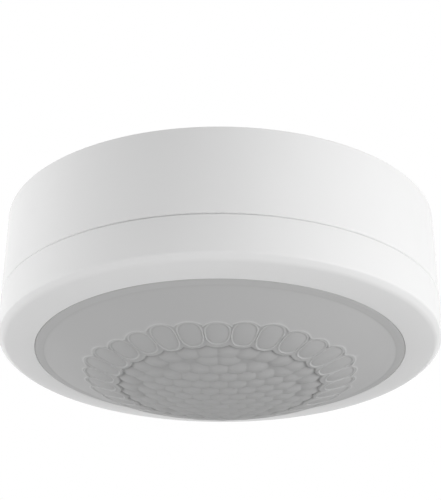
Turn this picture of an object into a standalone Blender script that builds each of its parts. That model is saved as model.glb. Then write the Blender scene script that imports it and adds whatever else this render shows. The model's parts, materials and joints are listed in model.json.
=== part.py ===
"""Round ceiling motion sensor: a surface-mounted base, a push-fit front cover and a domed facet lens.

Metres, +Z up. The origin is the centre of the face that meets the ceiling, so the sensor hangs below it.
Driving sizes are in millimetres at the top and are turned into metres by MM where they are used.
"""

import math

import bmesh
import bpy
from mathutils import Matrix, Vector

MM = 0.001
GAP = 0.3  # play left between neighbouring pieces
SIDES = 60  # facets round the large turned pieces
RING_SIDES = 48  # facets round the plain rings and boards
SMALL_SIDES = 12  # facets round screws, cans and dials
CABLE_SIDES = 32  # facets round the cable hole and its grommet
SHARP_ANGLE = 35  # edges steeper than this stay crisp
CLEAR = 2.0  # how far a cutting shape runs past the face it opens
SUNK = 0.8  # how far a post is sunk into the wall it stands on

# Outer form
COVER_RADIUS = 53.0
BASE_TOP_RADIUS = 52.3
BASE_SEAM_RADIUS = 52.9
BASE_HEIGHT = 21.6  # ceiling face to the seam
RIM_DEPTH = 33.2  # ceiling face to the lens edge of the bezel
LENS_OPENING_RADIUS = 44.25
DOME_RISE = 11.4  # how far the lens stands out past its edge
DOME_EDGE_RADIUS = 42.0  # a gently sloped lip runs from here to the lens edge
LENS_LIP_SLOPE = 0.2
CAP_RISE = DOME_RISE - LENS_LIP_SLOPE * (LENS_OPENING_RADIUS - DOME_EDGE_RADIUS)
CREASE_DEPTH = 30.9  # ceiling face to the crease where the cover's wall turns into the bezel's shoulder
CREASE_FILLET = 0.7
SHOULDER_RADIUS = 51.6
SHOULDER_FILLET = 2.5
BEZEL_SLOPE = 8.5  # degrees that the bezel's lower face rises from the lens edge to the shoulder
EDGE_BREAK = 0.35  # small bevel on the outer edges

# Base housing
WALL = 2.4
PLATE = 2.5
SPIGOT_RADIUS = 50.2
SPIGOT_WALL = 2.2
SPIGOT_LENGTH = 4.0
SEAL_GROOVE = 1.4
INNER_STEP = 1.5  # the wall grows thicker by this much above the seam
CABLE_HOLE_RADIUS = 8.0
CABLE_HOLE_Y = 12.0
FIXING_SPACING = 60.0  # the screw spacing of a standard round ceiling box
FIXING_SLOT = (9.0, 4.6)
STANDOFF_CIRCLE = 43.5
STANDOFF_RADIUS = 3.2
STANDOFF_ANGLES = (30, 150, 270)
BOARD_BOSS_CIRCLE = 33.5
BOARD_BOSS_RADIUS = 3.0
BOARD_BOSS_ANGLES = (90, 225, 315)
PILOT_RADIUS = 1.2  # hole that a screw's shank runs into
STANDOFF_PILOT = 8.0
BOARD_PILOT = 5.0
CABLE_RADIUS = 3.6  # opening of the grommet
GROMMET_WALL = 1.2
GROMMET_DEPTH = 4.6

# Boards and carrier, as depths below the ceiling face
MAIN_BOARD_DEPTH = 9.0
MAIN_BOARD_RADIUS = 38.5
BOARD_THICKNESS = 1.6
CABLE_CUTOUT_RADIUS = 9.6
CABLE_CUTOUT_Y = 9.5
CARRIER_DEPTH = 24.0
CARRIER_RADIUS = 47.6
CARRIER_THICKNESS = 1.6
SENSOR_BOARD_RADIUS = 19.0
SENSOR_BOARD_DEPTH = CARRIER_DEPTH + CARRIER_THICKNESS + 2 * GAP
SENSOR_BOARD_THICKNESS = 1.2
SENSOR_SCREWS = ((0.0, 14.5), (9.0, -12.0))
SENSOR_BOSS = (2.4, 2.8)  # radius and height
HEADER_AT = (-7.0, -13.5)
HEADER_SIZE = (10.0, 2.4)
SOCKET_HEIGHT = 8.5

# Screws: head radius, head height, shank radius, shank length
BOARD_SCREW = (2.6, 1.7, 0.9, 5.5)
CARRIER_SCREW = (2.8, 1.5, 0.9, 8.0)
SENSOR_SCREW = (2.0, 1.2, 0.9, 4.0)
RETAINER_SCREW = (1.9, 1.0, 0.85, 3.3)

# Parts on the mains board: sizes, and places across it
RELAY_SIZE = (15.5, 19.0, 11.4)
RELAY_AT = (-24.0, -6.0)
RELAY_VENT = (-4.5, -6.5)  # vent hole, from the relay's middle
MAINS_CAPACITOR_SIZE = (8.5, 18.0, 12.0)
MAINS_CAPACITOR_AT = (24.0, -4.0)
STORAGE_CAPACITOR = (5.0, 12.0)  # radius and height
STORAGE_CAPACITOR_AT = (7.0, -24.0)
VARISTOR = (5.4, 4.0)  # radius and thickness
VARISTOR_AT = (22.0, 14.0)
FUSE = (4.2, 8.0)  # radius and height
FUSE_AT = (-21.0, 16.0)

# Terminal block with rising clamps
POLES = 4
POLE_PITCH = 5.08
BLOCK_AT_Y = 24.2
WINDOW_AT_Y = 25.2  # middle of the carrier's window below the block, clear of the sensor board
BLOCK_SIZE = (22.4, 10.0, 10.5)
CLAMP_TRAVEL = 1.5
CAGE_SIZE = (3.4, 5.0, 4.6)
CAGE_WALL = 0.9
TERMINAL_HEAD_RADIUS = 1.7
TERMINAL_HEAD = 1.6
TERMINAL_SHANK_RADIUS = 1.0
BLOCK_BEVEL = 0.4
POCKET_MOUTH = 3.0  # the clamp pockets open this much further, towards the cable
SHANK_REACH = 0.5  # how far a terminal screw reaches into its open clamp
HEAD_RECESS = 2.2
RECESS_FLOOR = 1.0

# Front cover, lens and retainer
COVER_WALL = 2.2
BEZEL_THICKNESS = 2.3
LENS_WALL = 1.2
LENS_FLANGE_RADIUS = 46.3
RETAINER_RADII = (42.4, 50.2)
RETAINER_THICKNESS = 1.5
COVER_BOSS_CIRCLE = 48.6
COVER_BOSS_RADIUS = 2.0
COVER_BOSS_HEIGHT = 1.5
COVER_BOSS_ANGLES = (90, 210, 330)
SEAL_RADIUS = 0.6

# Facets moulded on the lens: a ring of ovals round a honeycomb of rings
OVAL_COUNT = 30
OVAL_CIRCLE = 28.6
OVAL_HALF_LENGTH = 3.5
OVAL_HALF_WIDTH = 2.65
OVAL_SIDES = 12
HONEYCOMB_RINGS = 5
HONEYCOMB_PITCH = 4.3
CELL_RADIUS = 2.2
FACET_DEPTH = 0.35
FACET_CLEAR = 0.2  # how far a pocket's cutting shape stands out of the lens
FACET_TAPER = 0.86  # size of a pocket's floor against its mouth

# Heat detector and the small parts beside it on the sensor board
CAN_RADIUS = 4.1
CAN_HEIGHT = 4.4
CAN_FLANGE = (4.6, 0.8)  # radius and thickness
CAN_SIDES = 24
WINDOW_SIZE = (4.0, 3.0, 0.5)
LED_RADIUS = 1.5
LED_HEIGHT = 3.6
LED_AT = (1.5, -7.8)
PHOTOCELL = (2.5, 2.2)  # radius and height
PHOTOCELL_AT = (2.5, -13.4)
RECEIVER_SIZE = (5.6, 4.4, 3.2)
RECEIVER_AT = (-9.6, -8.6)

# Adjusters on the sensor board
ADJUSTER_CIRCLE = 12.5
TRIMMERS = (("time", 180), ("lux", 0), ("range", 45))
BUTTON_ANGLE = 135
ADJUSTER_BODY = 6.2
TRIMMER_HEIGHT = 2.6
DIAL_RADIUS = 2.1
DIAL_HEIGHT = 1.6
DIAL_SEAT = 1.2
DIAL_SLOT = (0.7, 0.7)  # width and depth
BUTTON_RADIUS = 1.7
BUTTON_LENGTH = 2.3
BUTTON_INSERT = 0.7  # length of the button inside its guide when it is out
BUTTON_GUIDE = 1.6  # depth of the guide, which leaves room for the press
SWITCH_HEIGHT = 3.4
SMALL_BEVEL = 0.3

WHITE = (0.86, 0.86, 0.85)
LENS_WHITE = (0.62, 0.62, 0.62)
BOARD_GREEN = (0.05, 0.22, 0.10)
STEEL = (0.62, 0.62, 0.60)
BLACK = (0.03, 0.03, 0.03)


def clear_scene():
    for obj in list(bpy.data.objects):
        bpy.data.objects.remove(obj, do_unlink=True)


def material(name, colour, roughness=0.45, metallic=0.0):
    made = bpy.data.materials.get(name)
    if made:
        return made
    made = bpy.data.materials.new(name)
    made.use_nodes = True
    shader = made.node_tree.nodes["Principled BSDF"]
    shader.inputs["Base Color"].default_value = (*colour, 1.0)
    shader.inputs["Roughness"].default_value = roughness
    shader.inputs["Metallic"].default_value = metallic
    return made


def add_object(name, shape, finish=None, at=(0, 0, 0)):
    """Puts a bmesh, modelled in millimetres, into the scene as an object in metres."""
    bmesh.ops.remove_doubles(shape, verts=shape.verts, dist=1e-4)
    bmesh.ops.recalc_face_normals(shape, faces=shape.faces)
    bmesh.ops.scale(shape, vec=(MM, MM, MM), verts=shape.verts)
    mesh = bpy.data.meshes.new(name)
    shape.to_mesh(mesh)
    shape.free()
    obj = bpy.data.objects.new(name, mesh)
    obj.location = Vector(at) * MM
    bpy.context.scene.collection.objects.link(obj)
    if finish:
        mesh.materials.append(finish)
        mesh.shade_smooth()
        mesh.set_sharp_from_angle(angle=math.radians(SHARP_ANGLE))
    return obj


def turned(profile, sides=SIDES):
    """A closed outline of (radius, height) points, spun a full turn about Z."""
    shape = bmesh.new()
    points = [shape.verts.new((radius, 0, height)) for radius, height in profile]
    edges = [shape.edges.new((a, b)) for a, b in zip(points, points[1:] + points[:1])
             if a.co.x > 0 or b.co.x > 0]
    bmesh.ops.spin(shape, geom=points + edges, cent=(0, 0, 0), axis=(0, 0, 1), dvec=(0, 0, 0),
                   angle=2 * math.pi, steps=sides, use_merge=True)
    return shape


def disc(radius, bottom, top, sides=SMALL_SIDES):
    """A plain cylinder on the Z axis."""
    return turned([(0, top), (0, bottom), (radius, bottom), (radius, top)], sides)


def block(size, bevel=0.0, lift=0.0):
    """A box centred on the Z axis, with its edges bevelled and its middle at the height of lift."""
    shape = bmesh.new()
    place = Matrix.Translation((0, 0, lift)) @ Matrix.Diagonal((*size, 1.0))
    bmesh.ops.create_cube(shape, size=1.0, matrix=place)
    if bevel:
        bmesh.ops.bevel(shape, geom=shape.edges[:], offset=bevel, segments=1, affect="EDGES")
    return shape


def gathered(shapes):
    """Several separate shapes as one mesh, each (shape, place) moved to its place."""
    whole = bmesh.new()
    for shape, place in shapes:
        bmesh.ops.translate(shape, vec=place, verts=shape.verts)
        copy = bpy.data.meshes.new("copy")
        shape.to_mesh(copy)
        shape.free()
        whole.from_mesh(copy)
        bpy.data.meshes.remove(copy)
    return whole


def combine(obj, operation, name, shapes):
    """Adds a Boolean that works with one hidden object made of all the shapes."""
    tool = add_object(f"{obj.name}_{name}", gathered(shapes))
    tool.hide_render = True
    tool.display_type = "WIRE"
    modifier = obj.modifiers.new(name, "BOOLEAN")
    modifier.operation = operation
    modifier.solver = "EXACT"
    modifier.object = tool


def cut(obj, name, *shapes):
    combine(obj, "DIFFERENCE", name, shapes)


def join(obj, name, *shapes):
    combine(obj, "UNION", name, shapes)


def on_circle(radius, degrees):
    angle = math.radians(degrees)
    return radius * math.cos(angle), radius * math.sin(angle)


def screw(head_radius, head, shank_radius, shank):
    """A pan-head screw seated at z = 0 with its shank upwards, and the shape that cuts its drive slot."""
    shape = turned([(0, shank), (0, -head), (head_radius * 0.8, -head), (head_radius, -head * 0.6),
                    (head_radius, 0), (shank_radius, 0), (shank_radius, shank)], SMALL_SIDES)
    return shape, block((head_radius * 3, head_radius * 0.4, head))


def add_screw(name, place, seat, sizes, finish):
    """Adds a screw that is driven from below, its head's seat at the given height."""
    shape, slot = screw(*sizes)
    obj = add_object(name, shape, finish, (*place, seat))
    cut(obj, "slot", (slot, (*place, seat - sizes[1])))


def ball_radius():
    """Radius of the ball that the lens's cap is part of."""
    return (DOME_EDGE_RADIUS**2 + CAP_RISE**2) / (2 * CAP_RISE)


def dome_height(radius):
    """Height of the lens's outer surface at a radius: a spherical cap, and an evenly sloped lip round it."""
    within = min(radius, DOME_EDGE_RADIUS)
    lip = LENS_LIP_SLOPE * (radius - within)
    return -RIM_DEPTH - DOME_RISE + ball_radius() - math.sqrt(ball_radius()**2 - within**2) + lip


def arc(centre, radius, start, end, steps):
    """Points of a fillet, from start to end in degrees."""
    turns = [start + (end - start) * i / steps for i in range(steps + 1)]
    return [(centre[0] + radius * math.cos(math.radians(t)), centre[1] + radius * math.sin(math.radians(t)))
            for t in turns]


def fixing_slot():
    """The shape of a round-ended slot that a ceiling screw passes through."""
    length, width = FIXING_SLOT
    slot = block((length, width, 3 * PLATE))
    ends = [edge for edge in slot.edges if abs(edge.verts[0].co.z - edge.verts[1].co.z) > PLATE]
    bmesh.ops.bevel(slot, geom=ends, offset=width * 0.45, segments=4, profile=0.5, affect="EDGES")
    return slot


def base_housing(white):
    """The cup that is screwed to the ceiling, with a spigot for the cover and its seal."""
    seam = -BASE_HEIGHT
    end = seam - SPIGOT_LENGTH
    inner = SPIGOT_RADIUS - SPIGOT_WALL
    groove = SPIGOT_RADIUS - SEAL_GROOVE
    middle = seam - SPIGOT_LENGTH / 2
    half = SEAL_RADIUS + GAP
    profile = [(0, 0), (0, -PLATE), (BASE_TOP_RADIUS - WALL, -PLATE),
               (inner + INNER_STEP, seam + WALL + INNER_STEP), (inner, seam + WALL),
               (inner, end), (SPIGOT_RADIUS, end), (SPIGOT_RADIUS, middle - half), (groove, middle - half),
               (groove, middle + half), (SPIGOT_RADIUS, middle + half), (SPIGOT_RADIUS, seam),
               (BASE_SEAM_RADIUS - EDGE_BREAK, seam), (BASE_SEAM_RADIUS, seam + EDGE_BREAK),
               (BASE_TOP_RADIUS, -EDGE_BREAK), (BASE_TOP_RADIUS - EDGE_BREAK, 0)]
    housing = add_object("base_housing", turned(profile), white)
    carrier_foot = GAP - CARRIER_DEPTH
    board_foot = GAP - MAIN_BOARD_DEPTH
    posts = [(*on_circle(STANDOFF_CIRCLE, degrees), STANDOFF_RADIUS, carrier_foot, STANDOFF_PILOT)
             for degrees in STANDOFF_ANGLES]
    posts += [(*on_circle(BOARD_BOSS_CIRCLE, degrees), BOARD_BOSS_RADIUS, board_foot, BOARD_PILOT)
              for degrees in BOARD_BOSS_ANGLES]
    join(housing, "posts", *((disc(radius, foot, SUNK - PLATE), (x, y, 0))
                             for x, y, radius, foot, pilot in posts))
    holes = [(disc(PILOT_RADIUS, foot - CLEAR, foot + pilot), (x, y, 0))
             for x, y, radius, foot, pilot in posts]
    holes += [(fixing_slot(), (side * FIXING_SPACING / 2, 0, 0)) for side in (-1, 1)]
    cable_hole = disc(CABLE_HOLE_RADIUS, -PLATE - CLEAR, CLEAR, CABLE_SIDES)
    cut(housing, "holes", *holes, (cable_hole, (0, CABLE_HOLE_Y, 0)))


def cable_grommet():
    """A rubber ring that fills the cable hole, with a funnel for the cable."""
    rubber = material("grommet_rubber", (0.16, 0.16, 0.16), 0.8)
    edge = CABLE_HOLE_RADIUS - GAP
    lip = -PLATE - GAP
    rim = CABLE_HOLE_RADIUS + GROMMET_WALL
    profile = [(CABLE_RADIUS, GROMMET_WALL - GROMMET_DEPTH), (edge - GROMMET_WALL, -GROMMET_WALL),
               (edge - GROMMET_WALL, -GAP), (edge, -GAP), (edge, lip), (rim, lip), (rim, lip - GROMMET_WALL),
               (edge - GROMMET_WALL, lip - GROMMET_WALL), (CABLE_RADIUS, -GROMMET_DEPTH)]
    add_object("cable_grommet", turned(profile, CABLE_SIDES), rubber, (0, CABLE_HOLE_Y, 0))


def cover_seal():
    """The rubber ring in the spigot's groove, whose grip holds the cover on."""
    rubber = material("seal_rubber", (0.10, 0.10, 0.10), 0.75)
    centre = (SPIGOT_RADIUS - SEAL_GROOVE + GAP + SEAL_RADIUS, -BASE_HEIGHT - SPIGOT_LENGTH / 2)
    add_object("cover_seal", turned(arc(centre, SEAL_RADIUS, 0, 300, 5), RING_SIDES), rubber)


def main_board(steel):
    """The mains board: a disc with a cable cut-out, its parts on the lower face."""
    green = material("circuit_board", BOARD_GREEN, 0.5)
    top = -MAIN_BOARD_DEPTH
    low = top - BOARD_THICKNESS
    board = add_object("main_board", disc(MAIN_BOARD_RADIUS, low, top, RING_SIDES), green)
    places = [on_circle(BOARD_BOSS_CIRCLE, degrees) for degrees in BOARD_BOSS_ANGLES]
    holes = [(disc(PILOT_RADIUS, low - CLEAR, top + CLEAR), (*place, 0)) for place in places]
    cutout = disc(CABLE_CUTOUT_RADIUS, low - CLEAR, top + CLEAR, CABLE_SIDES)
    cut(board, "holes", *holes, (cutout, (0, CABLE_CUTOUT_Y, 0)))
    for index, place in enumerate(places, 1):
        add_screw(f"board_screw_{index}", place, low - GAP, BOARD_SCREW, steel)


def stand_on_board(name, shape, height, at, finish):
    """Places a part, modelled about its middle, on the lower face of the mains board."""
    face = -MAIN_BOARD_DEPTH - BOARD_THICKNESS - GAP
    return add_object(name, shape, finish, (*at, face - height / 2))


def power_parts():
    """What drops the mains to low voltage and switches the load."""
    blue = material("relay_case", (0.04, 0.09, 0.20), 0.4)
    relay = stand_on_board("relay", block(RELAY_SIZE, 2 * SMALL_BEVEL), RELAY_SIZE[2], RELAY_AT, blue)
    vent = (RELAY_AT[0] + RELAY_VENT[0], RELAY_AT[1] + RELAY_VENT[1], relay.location.z / MM - RELAY_SIZE[2] / 2)
    cut(relay, "vent", (disc(SUNK, -SUNK, SUNK), vent))
    yellow = material("capacitor_case", (0.62, 0.50, 0.06), 0.4)
    stand_on_board("mains_capacitor", block(MAINS_CAPACITOR_SIZE, 2 * SMALL_BEVEL), MAINS_CAPACITOR_SIZE[2],
                   MAINS_CAPACITOR_AT, yellow)
    radius, height = STORAGE_CAPACITOR
    half = height / 2
    crimp = 2 * SMALL_BEVEL
    can = [(0, half), (0, -half), (radius - crimp, -half), (radius, crimp - half), (radius, half - 4 * crimp),
           (radius - crimp, half - 3 * crimp), (radius, half - 2 * crimp), (radius, half)]
    stand_on_board("storage_capacitor", turned(can, SMALL_SIDES), height, STORAGE_CAPACITOR_AT,
                   material("capacitor_sleeve", (0.03, 0.04, 0.08), 0.35))
    radius, thickness = VARISTOR
    half = thickness / 2
    coat = [(0, half), (0, -half), (radius - SUNK, -half), (radius, SUNK - half), (radius, half - SUNK),
            (radius - SUNK, half)]
    varistor = turned(coat, SMALL_SIDES)
    on_edge = Matrix.Rotation(math.pi / 2, 3, "Y")
    bmesh.ops.rotate(varistor, cent=(0, 0, 0), matrix=on_edge, verts=varistor.verts)
    stand_on_board("varistor", varistor, 2 * radius, VARISTOR_AT,
                   material("varistor_coat", (0.03, 0.12, 0.36), 0.5))
    radius, height = FUSE
    half = height / 2
    cap = [(0, half), (0, -half), (radius - crimp, -half), (radius, crimp - half), (radius, half)]
    stand_on_board("fuse", turned(cap, SMALL_SIDES), height, FUSE_AT,
                   material("fuse_cap", (0.05, 0.05, 0.05), 0.45))


def terminal_block():
    """Screw terminals: each screw turns in place and draws its clamp cage down onto the wire."""
    green = material("terminal_plastic", (0.16, 0.34, 0.20), 0.5)
    steel = material("clamp_steel", STEEL, 0.3, 1.0)
    height = BLOCK_SIZE[2]
    shell = stand_on_board("terminal_block", block(BLOCK_SIZE, BLOCK_BEVEL), height, (0, BLOCK_AT_Y), green)
    foot = shell.location.z / MM - height / 2
    seat = foot + HEAD_RECESS
    pocket_floor = seat + RECESS_FLOOR
    cage_width, cage_depth, cage_height = CAGE_SIZE
    pocket_height = cage_height + CLAMP_TRAVEL + 2 * GAP
    pocket = (cage_width + 2 * GAP, cage_depth + 2 * GAP + POCKET_MOUTH, pocket_height)
    pocket_at = (BLOCK_AT_Y - POCKET_MOUTH / 2, pocket_floor + pocket_height / 2)
    poles = [(pole - (POLES - 1) / 2) * POLE_PITCH for pole in range(POLES)]
    cut(shell, "pockets", *((block(pocket), (x, *pocket_at)) for x in poles))
    bore = TERMINAL_SHANK_RADIUS + GAP
    recess = TERMINAL_HEAD_RADIUS + GAP
    bore_end = pocket_floor + pocket_height / 2
    stepped = [(0, bore_end), (0, foot - CLEAR), (recess, foot - CLEAR), (recess, seat), (bore, seat),
               (bore, bore_end)]
    cut(shell, "screw_holes", *((turned(stepped, SMALL_SIDES), (x, BLOCK_AT_Y, 0)) for x in poles))
    cage_middle = pocket_floor + pocket_height - GAP - cage_height / 2
    shank = cage_middle - cage_height / 2 + CAGE_WALL + SHANK_REACH - (seat - GAP)
    sizes = (TERMINAL_HEAD_RADIUS, TERMINAL_HEAD, TERMINAL_SHANK_RADIUS, shank)
    mouth = (cage_width - CAGE_WALL, cage_depth + CLEAR, cage_height - 2 * CAGE_WALL)
    for number, x in enumerate(poles, 1):
        add_screw(f"terminal_screw_{number}", (x, BLOCK_AT_Y), seat - GAP, sizes, steel)
        cage_at = (x, BLOCK_AT_Y, cage_middle)
        cage = add_object(f"clamp_cage_{number}", block(CAGE_SIZE), steel, cage_at)
        cut(cage, "mouth", (block(mouth), cage_at))
        cut(cage, "thread", (disc(TERMINAL_SHANK_RADIUS + GAP / 2, -cage_height, 0), cage_at))


def board_link():
    """A socket on the mains board and the pin header of the sensor board that plugs into it."""
    black = material("connector_black", BLACK, 0.5)
    socket = block((*HEADER_SIZE, SOCKET_HEIGHT), SMALL_BEVEL)
    stand_on_board("header_socket", socket, SOCKET_HEIGHT, HEADER_AT, black)
    top = -MAIN_BOARD_DEPTH - BOARD_THICKNESS - 2 * GAP - SOCKET_HEIGHT
    bottom = -SENSOR_BOARD_DEPTH + GAP
    header = block((*HEADER_SIZE, top - bottom), SMALL_BEVEL)
    add_object("pin_header", header, black, (*HEADER_AT, (top + bottom) / 2))


def sensor_carrier(white, steel):
    """The plate that closes the base, carries the sensor board and leaves the terminal screws in reach."""
    top = -CARRIER_DEPTH
    low = top - CARRIER_THICKNESS
    plate = add_object("sensor_carrier", disc(CARRIER_RADIUS, low, top, RING_SIDES), white)
    through = CARRIER_THICKNESS + 2 * CLEAR
    window = block((BLOCK_SIZE[0], BLOCK_SIZE[1], through))
    slot = block((HEADER_SIZE[0] + 2 * GAP, HEADER_SIZE[1] + 2 * GAP, through))
    corners = [on_circle(STANDOFF_CIRCLE, degrees) for degrees in STANDOFF_ANGLES]
    boss_radius, boss_height = SENSOR_BOSS
    join(plate, "bosses", *((disc(boss_radius, top - SUNK, top + boss_height), (*place, 0))
                            for place in SENSOR_SCREWS))
    holes = [(disc(PILOT_RADIUS, low - CLEAR, top + CLEAR), (*place, 0))
             for place in (*corners, *SENSOR_SCREWS)]
    cut(plate, "holes", *holes, (window, (0, WINDOW_AT_Y, low)), (slot, (*HEADER_AT, low)))
    for index, place in enumerate(corners, 1):
        add_screw(f"carrier_screw_{index}", place, low - GAP, CARRIER_SCREW, steel)


def on_sensor_board(name, shape, at, finish):
    """Places a part, modelled downwards from z = 0, under the sensor board."""
    face = -SENSOR_BOARD_DEPTH - SENSOR_BOARD_THICKNESS - GAP
    return add_object(name, shape, finish, (*at, face))


def sensor_board(steel):
    """The low-voltage board with the heat detector in its middle."""
    green = material("circuit_board", BOARD_GREEN, 0.5)
    top = -SENSOR_BOARD_DEPTH
    low = top - SENSOR_BOARD_THICKNESS
    board = add_object("sensor_board", disc(SENSOR_BOARD_RADIUS, low, top, RING_SIDES), green)
    cut(board, "screw_holes", *((disc(PILOT_RADIUS, low - CLEAR, top + CLEAR), (*place, 0))
                                for place in SENSOR_SCREWS))
    for index, place in enumerate(SENSOR_SCREWS, 1):
        add_screw(f"sensor_screw_{index}", place, low - GAP, SENSOR_SCREW, steel)


def detectors():
    """The heat detector with its window, and the small parts beside it."""
    can_steel = material("sensor_can", (0.66, 0.63, 0.55), 0.3, 1.0)
    flange, flange_thickness = CAN_FLANGE
    can = [(0, 0), (0, -CAN_HEIGHT), (CAN_RADIUS - BLOCK_BEVEL, -CAN_HEIGHT),
           (CAN_RADIUS, BLOCK_BEVEL - CAN_HEIGHT), (CAN_RADIUS, -flange_thickness), (flange, -flange_thickness),
           (flange, 0)]
    pyro = on_sensor_board("pyro_sensor", turned(can, CAN_SIDES), (0, 0), can_steel)
    face = pyro.location.z / MM - CAN_HEIGHT
    length, width, thickness = WINDOW_SIZE
    seat = block((length + 2 * GAP, width + 2 * GAP, 2 * (thickness + 2 * GAP)))
    cut(pyro, "window_seat", (seat, (0, 0, face)))
    window = block(WINDOW_SIZE, lift=thickness / 2)
    add_object("pyro_window", window, material("window_filter", (0.05, 0.05, 0.06), 0.15), (0, 0, face + GAP))
    collar = LED_RADIUS + GAP
    bulb = [(0, 0), *((LED_RADIUS * share, height) for share, height in
                      ((0, -LED_HEIGHT), (0.5, -0.95 * LED_HEIGHT), (0.87, -0.8 * LED_HEIGHT))),
            (LED_RADIUS, -0.6 * LED_HEIGHT), (LED_RADIUS, -2 * GAP), (collar, -2 * GAP), (collar, 0)]
    red = material("led_red", (0.5, 0.02, 0.02), 0.2)
    on_sensor_board("status_led", turned(bulb, SMALL_SIDES), LED_AT, red)
    radius, height = PHOTOCELL
    cell = [(0, 0), (0, -height), (radius - BLOCK_BEVEL, -height), (radius, BLOCK_BEVEL - height), (radius, 0)]
    on_sensor_board("light_sensor", turned(cell, SMALL_SIDES), PHOTOCELL_AT,
                    material("photocell", (0.48, 0.20, 0.06), 0.35))
    receiver = block(RECEIVER_SIZE, BLOCK_BEVEL, -RECEIVER_SIZE[2] / 2)
    on_sensor_board("ir_receiver", receiver, RECEIVER_AT, material("receiver_black", BLACK, 0.2))


def adjusters():
    """Three trimmers whose slotted dials turn, and the teach button that is pressed in."""
    blue = material("trimmer_blue", (0.04, 0.13, 0.42), 0.45)
    dial_white = material("dial_white", (0.75, 0.75, 0.72), 0.4)
    slot_width, slot_depth = DIAL_SLOT
    for label, degrees in TRIMMERS:
        place = on_circle(ADJUSTER_CIRCLE, degrees)
        body = block((ADJUSTER_BODY, ADJUSTER_BODY, TRIMMER_HEIGHT), SMALL_BEVEL, -TRIMMER_HEIGHT / 2)
        holder = on_sensor_board(f"{label}_trimmer", body, place, blue)
        face = holder.location.z / MM - TRIMMER_HEIGHT
        cut(holder, "seat", (disc(DIAL_RADIUS + GAP, face - CLEAR, face + DIAL_SEAT), (*place, 0)))
        dial_top = face + DIAL_SEAT - GAP
        dial = add_object(f"{label}_dial", disc(DIAL_RADIUS, -DIAL_HEIGHT, 0), dial_white, (*place, dial_top))
        slot = block((3 * DIAL_RADIUS, slot_width, 2 * slot_depth))
        cut(dial, "slot", (slot, (*place, dial_top - DIAL_HEIGHT)))
    place = on_circle(ADJUSTER_CIRCLE, BUTTON_ANGLE)
    case = block((ADJUSTER_BODY, ADJUSTER_BODY, SWITCH_HEIGHT), SMALL_BEVEL, -SWITCH_HEIGHT / 2)
    switch = on_sensor_board("button_switch", case, place, material("switch_black", BLACK, 0.45))
    face = switch.location.z / MM - SWITCH_HEIGHT
    cut(switch, "guide", (disc(BUTTON_RADIUS + GAP, face - CLEAR, face + BUTTON_GUIDE), (*place, 0)))
    profile = [(0, 0), (0, -BUTTON_LENGTH), (BUTTON_RADIUS - BLOCK_BEVEL, -BUTTON_LENGTH),
               (BUTTON_RADIUS, BLOCK_BEVEL - BUTTON_LENGTH), (BUTTON_RADIUS, 0)]
    add_object("teach_button", turned(profile, SMALL_SIDES), material("button_grey", (0.5, 0.5, 0.48), 0.5),
               (*place, face + BUTTON_INSERT))


def rounded_corner(corner, start, end, radius, steps):
    """An arc in place of an outline's corner, between the degrees at which its two faces look outward."""
    middle = math.radians((start + end) / 2)
    reach = radius / math.cos(math.radians((end - start) / 2))
    centre = (corner[0] - reach * math.cos(middle), corner[1] - reach * math.sin(middle))
    return arc(centre, radius, start, end, steps)


def bezel_outline():
    """The cover's outer face, from the seam down the wall, over crease and shoulder and in to the lens edge."""
    seam = -BASE_HEIGHT - GAP
    crease = (COVER_RADIUS, -CREASE_DEPTH)
    rise = (SHOULDER_RADIUS - LENS_OPENING_RADIUS) * math.tan(math.radians(BEZEL_SLOPE))
    shoulder = (SHOULDER_RADIUS, rise - RIM_DEPTH)
    lean = -math.degrees(math.atan2(crease[0] - shoulder[0], crease[1] - shoulder[1]))
    return [(COVER_RADIUS - EDGE_BREAK, seam), (COVER_RADIUS, seam - EDGE_BREAK),
            *rounded_corner(crease, 0, lean, CREASE_FILLET, 2),
            *rounded_corner(shoulder, lean, BEZEL_SLOPE - 90, SHOULDER_FILLET, 3),
            (LENS_OPENING_RADIUS + EDGE_BREAK, -RIM_DEPTH), (LENS_OPENING_RADIUS, EDGE_BREAK - RIM_DEPTH)]


def front_cover(white, steel):
    """The cover ring with its bezel, held on the spigot by the seal. Returns the height of its inner bosses."""
    inside = COVER_RADIUS - COVER_WALL
    shelf = -RIM_DEPTH + BEZEL_THICKNESS
    profile = [*bezel_outline(), (LENS_OPENING_RADIUS, shelf), (LENS_FLANGE_RADIUS + GAP, shelf),
               (inside - 2 * GAP, shelf + 3 * GAP), (inside, shelf + COVER_BOSS_HEIGHT),
               (inside, -BASE_HEIGHT - GAP)]
    cover = add_object("front_cover", turned(profile), white)
    places = [on_circle(COVER_BOSS_CIRCLE, degrees) for degrees in COVER_BOSS_ANGLES]
    boss_top = shelf + COVER_BOSS_HEIGHT
    join(cover, "bosses", *((disc(COVER_BOSS_RADIUS, shelf - GAP, boss_top), (*place, 0)) for place in places))
    cut(cover, "pilots", *((disc(PILOT_RADIUS, shelf, boss_top + CLEAR), (*place, 0)) for place in places))
    seat = boss_top + RETAINER_THICKNESS + 2 * GAP
    flip = Matrix.Rotation(math.pi, 3, "X")
    for index, place in enumerate(places, 1):
        shape, slot = screw(*RETAINER_SCREW)
        bmesh.ops.rotate(shape, cent=(0, 0, 0), matrix=flip, verts=shape.verts)
        fixing = add_object(f"retainer_screw_{index}", shape, steel, (*place, seat))
        cut(fixing, "slot", (slot, (*place, seat + RETAINER_SCREW[1])))
    return boss_top


def lens_retainer(white, boss_top):
    """The ring that clamps the lens flange to the bezel from inside."""
    inner, outer = RETAINER_RADII
    low = boss_top + GAP
    high = low + RETAINER_THICKNESS
    outline = [(inner, high), (inner, low), (outer, low), (outer, high)]
    ring = add_object("lens_retainer", turned(outline, RING_SIDES), white)
    places = [on_circle(COVER_BOSS_CIRCLE, degrees) for degrees in COVER_BOSS_ANGLES]
    cut(ring, "holes", *((disc(PILOT_RADIUS, low - CLEAR, high + CLEAR), (*place, 0)) for place in places))


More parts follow.
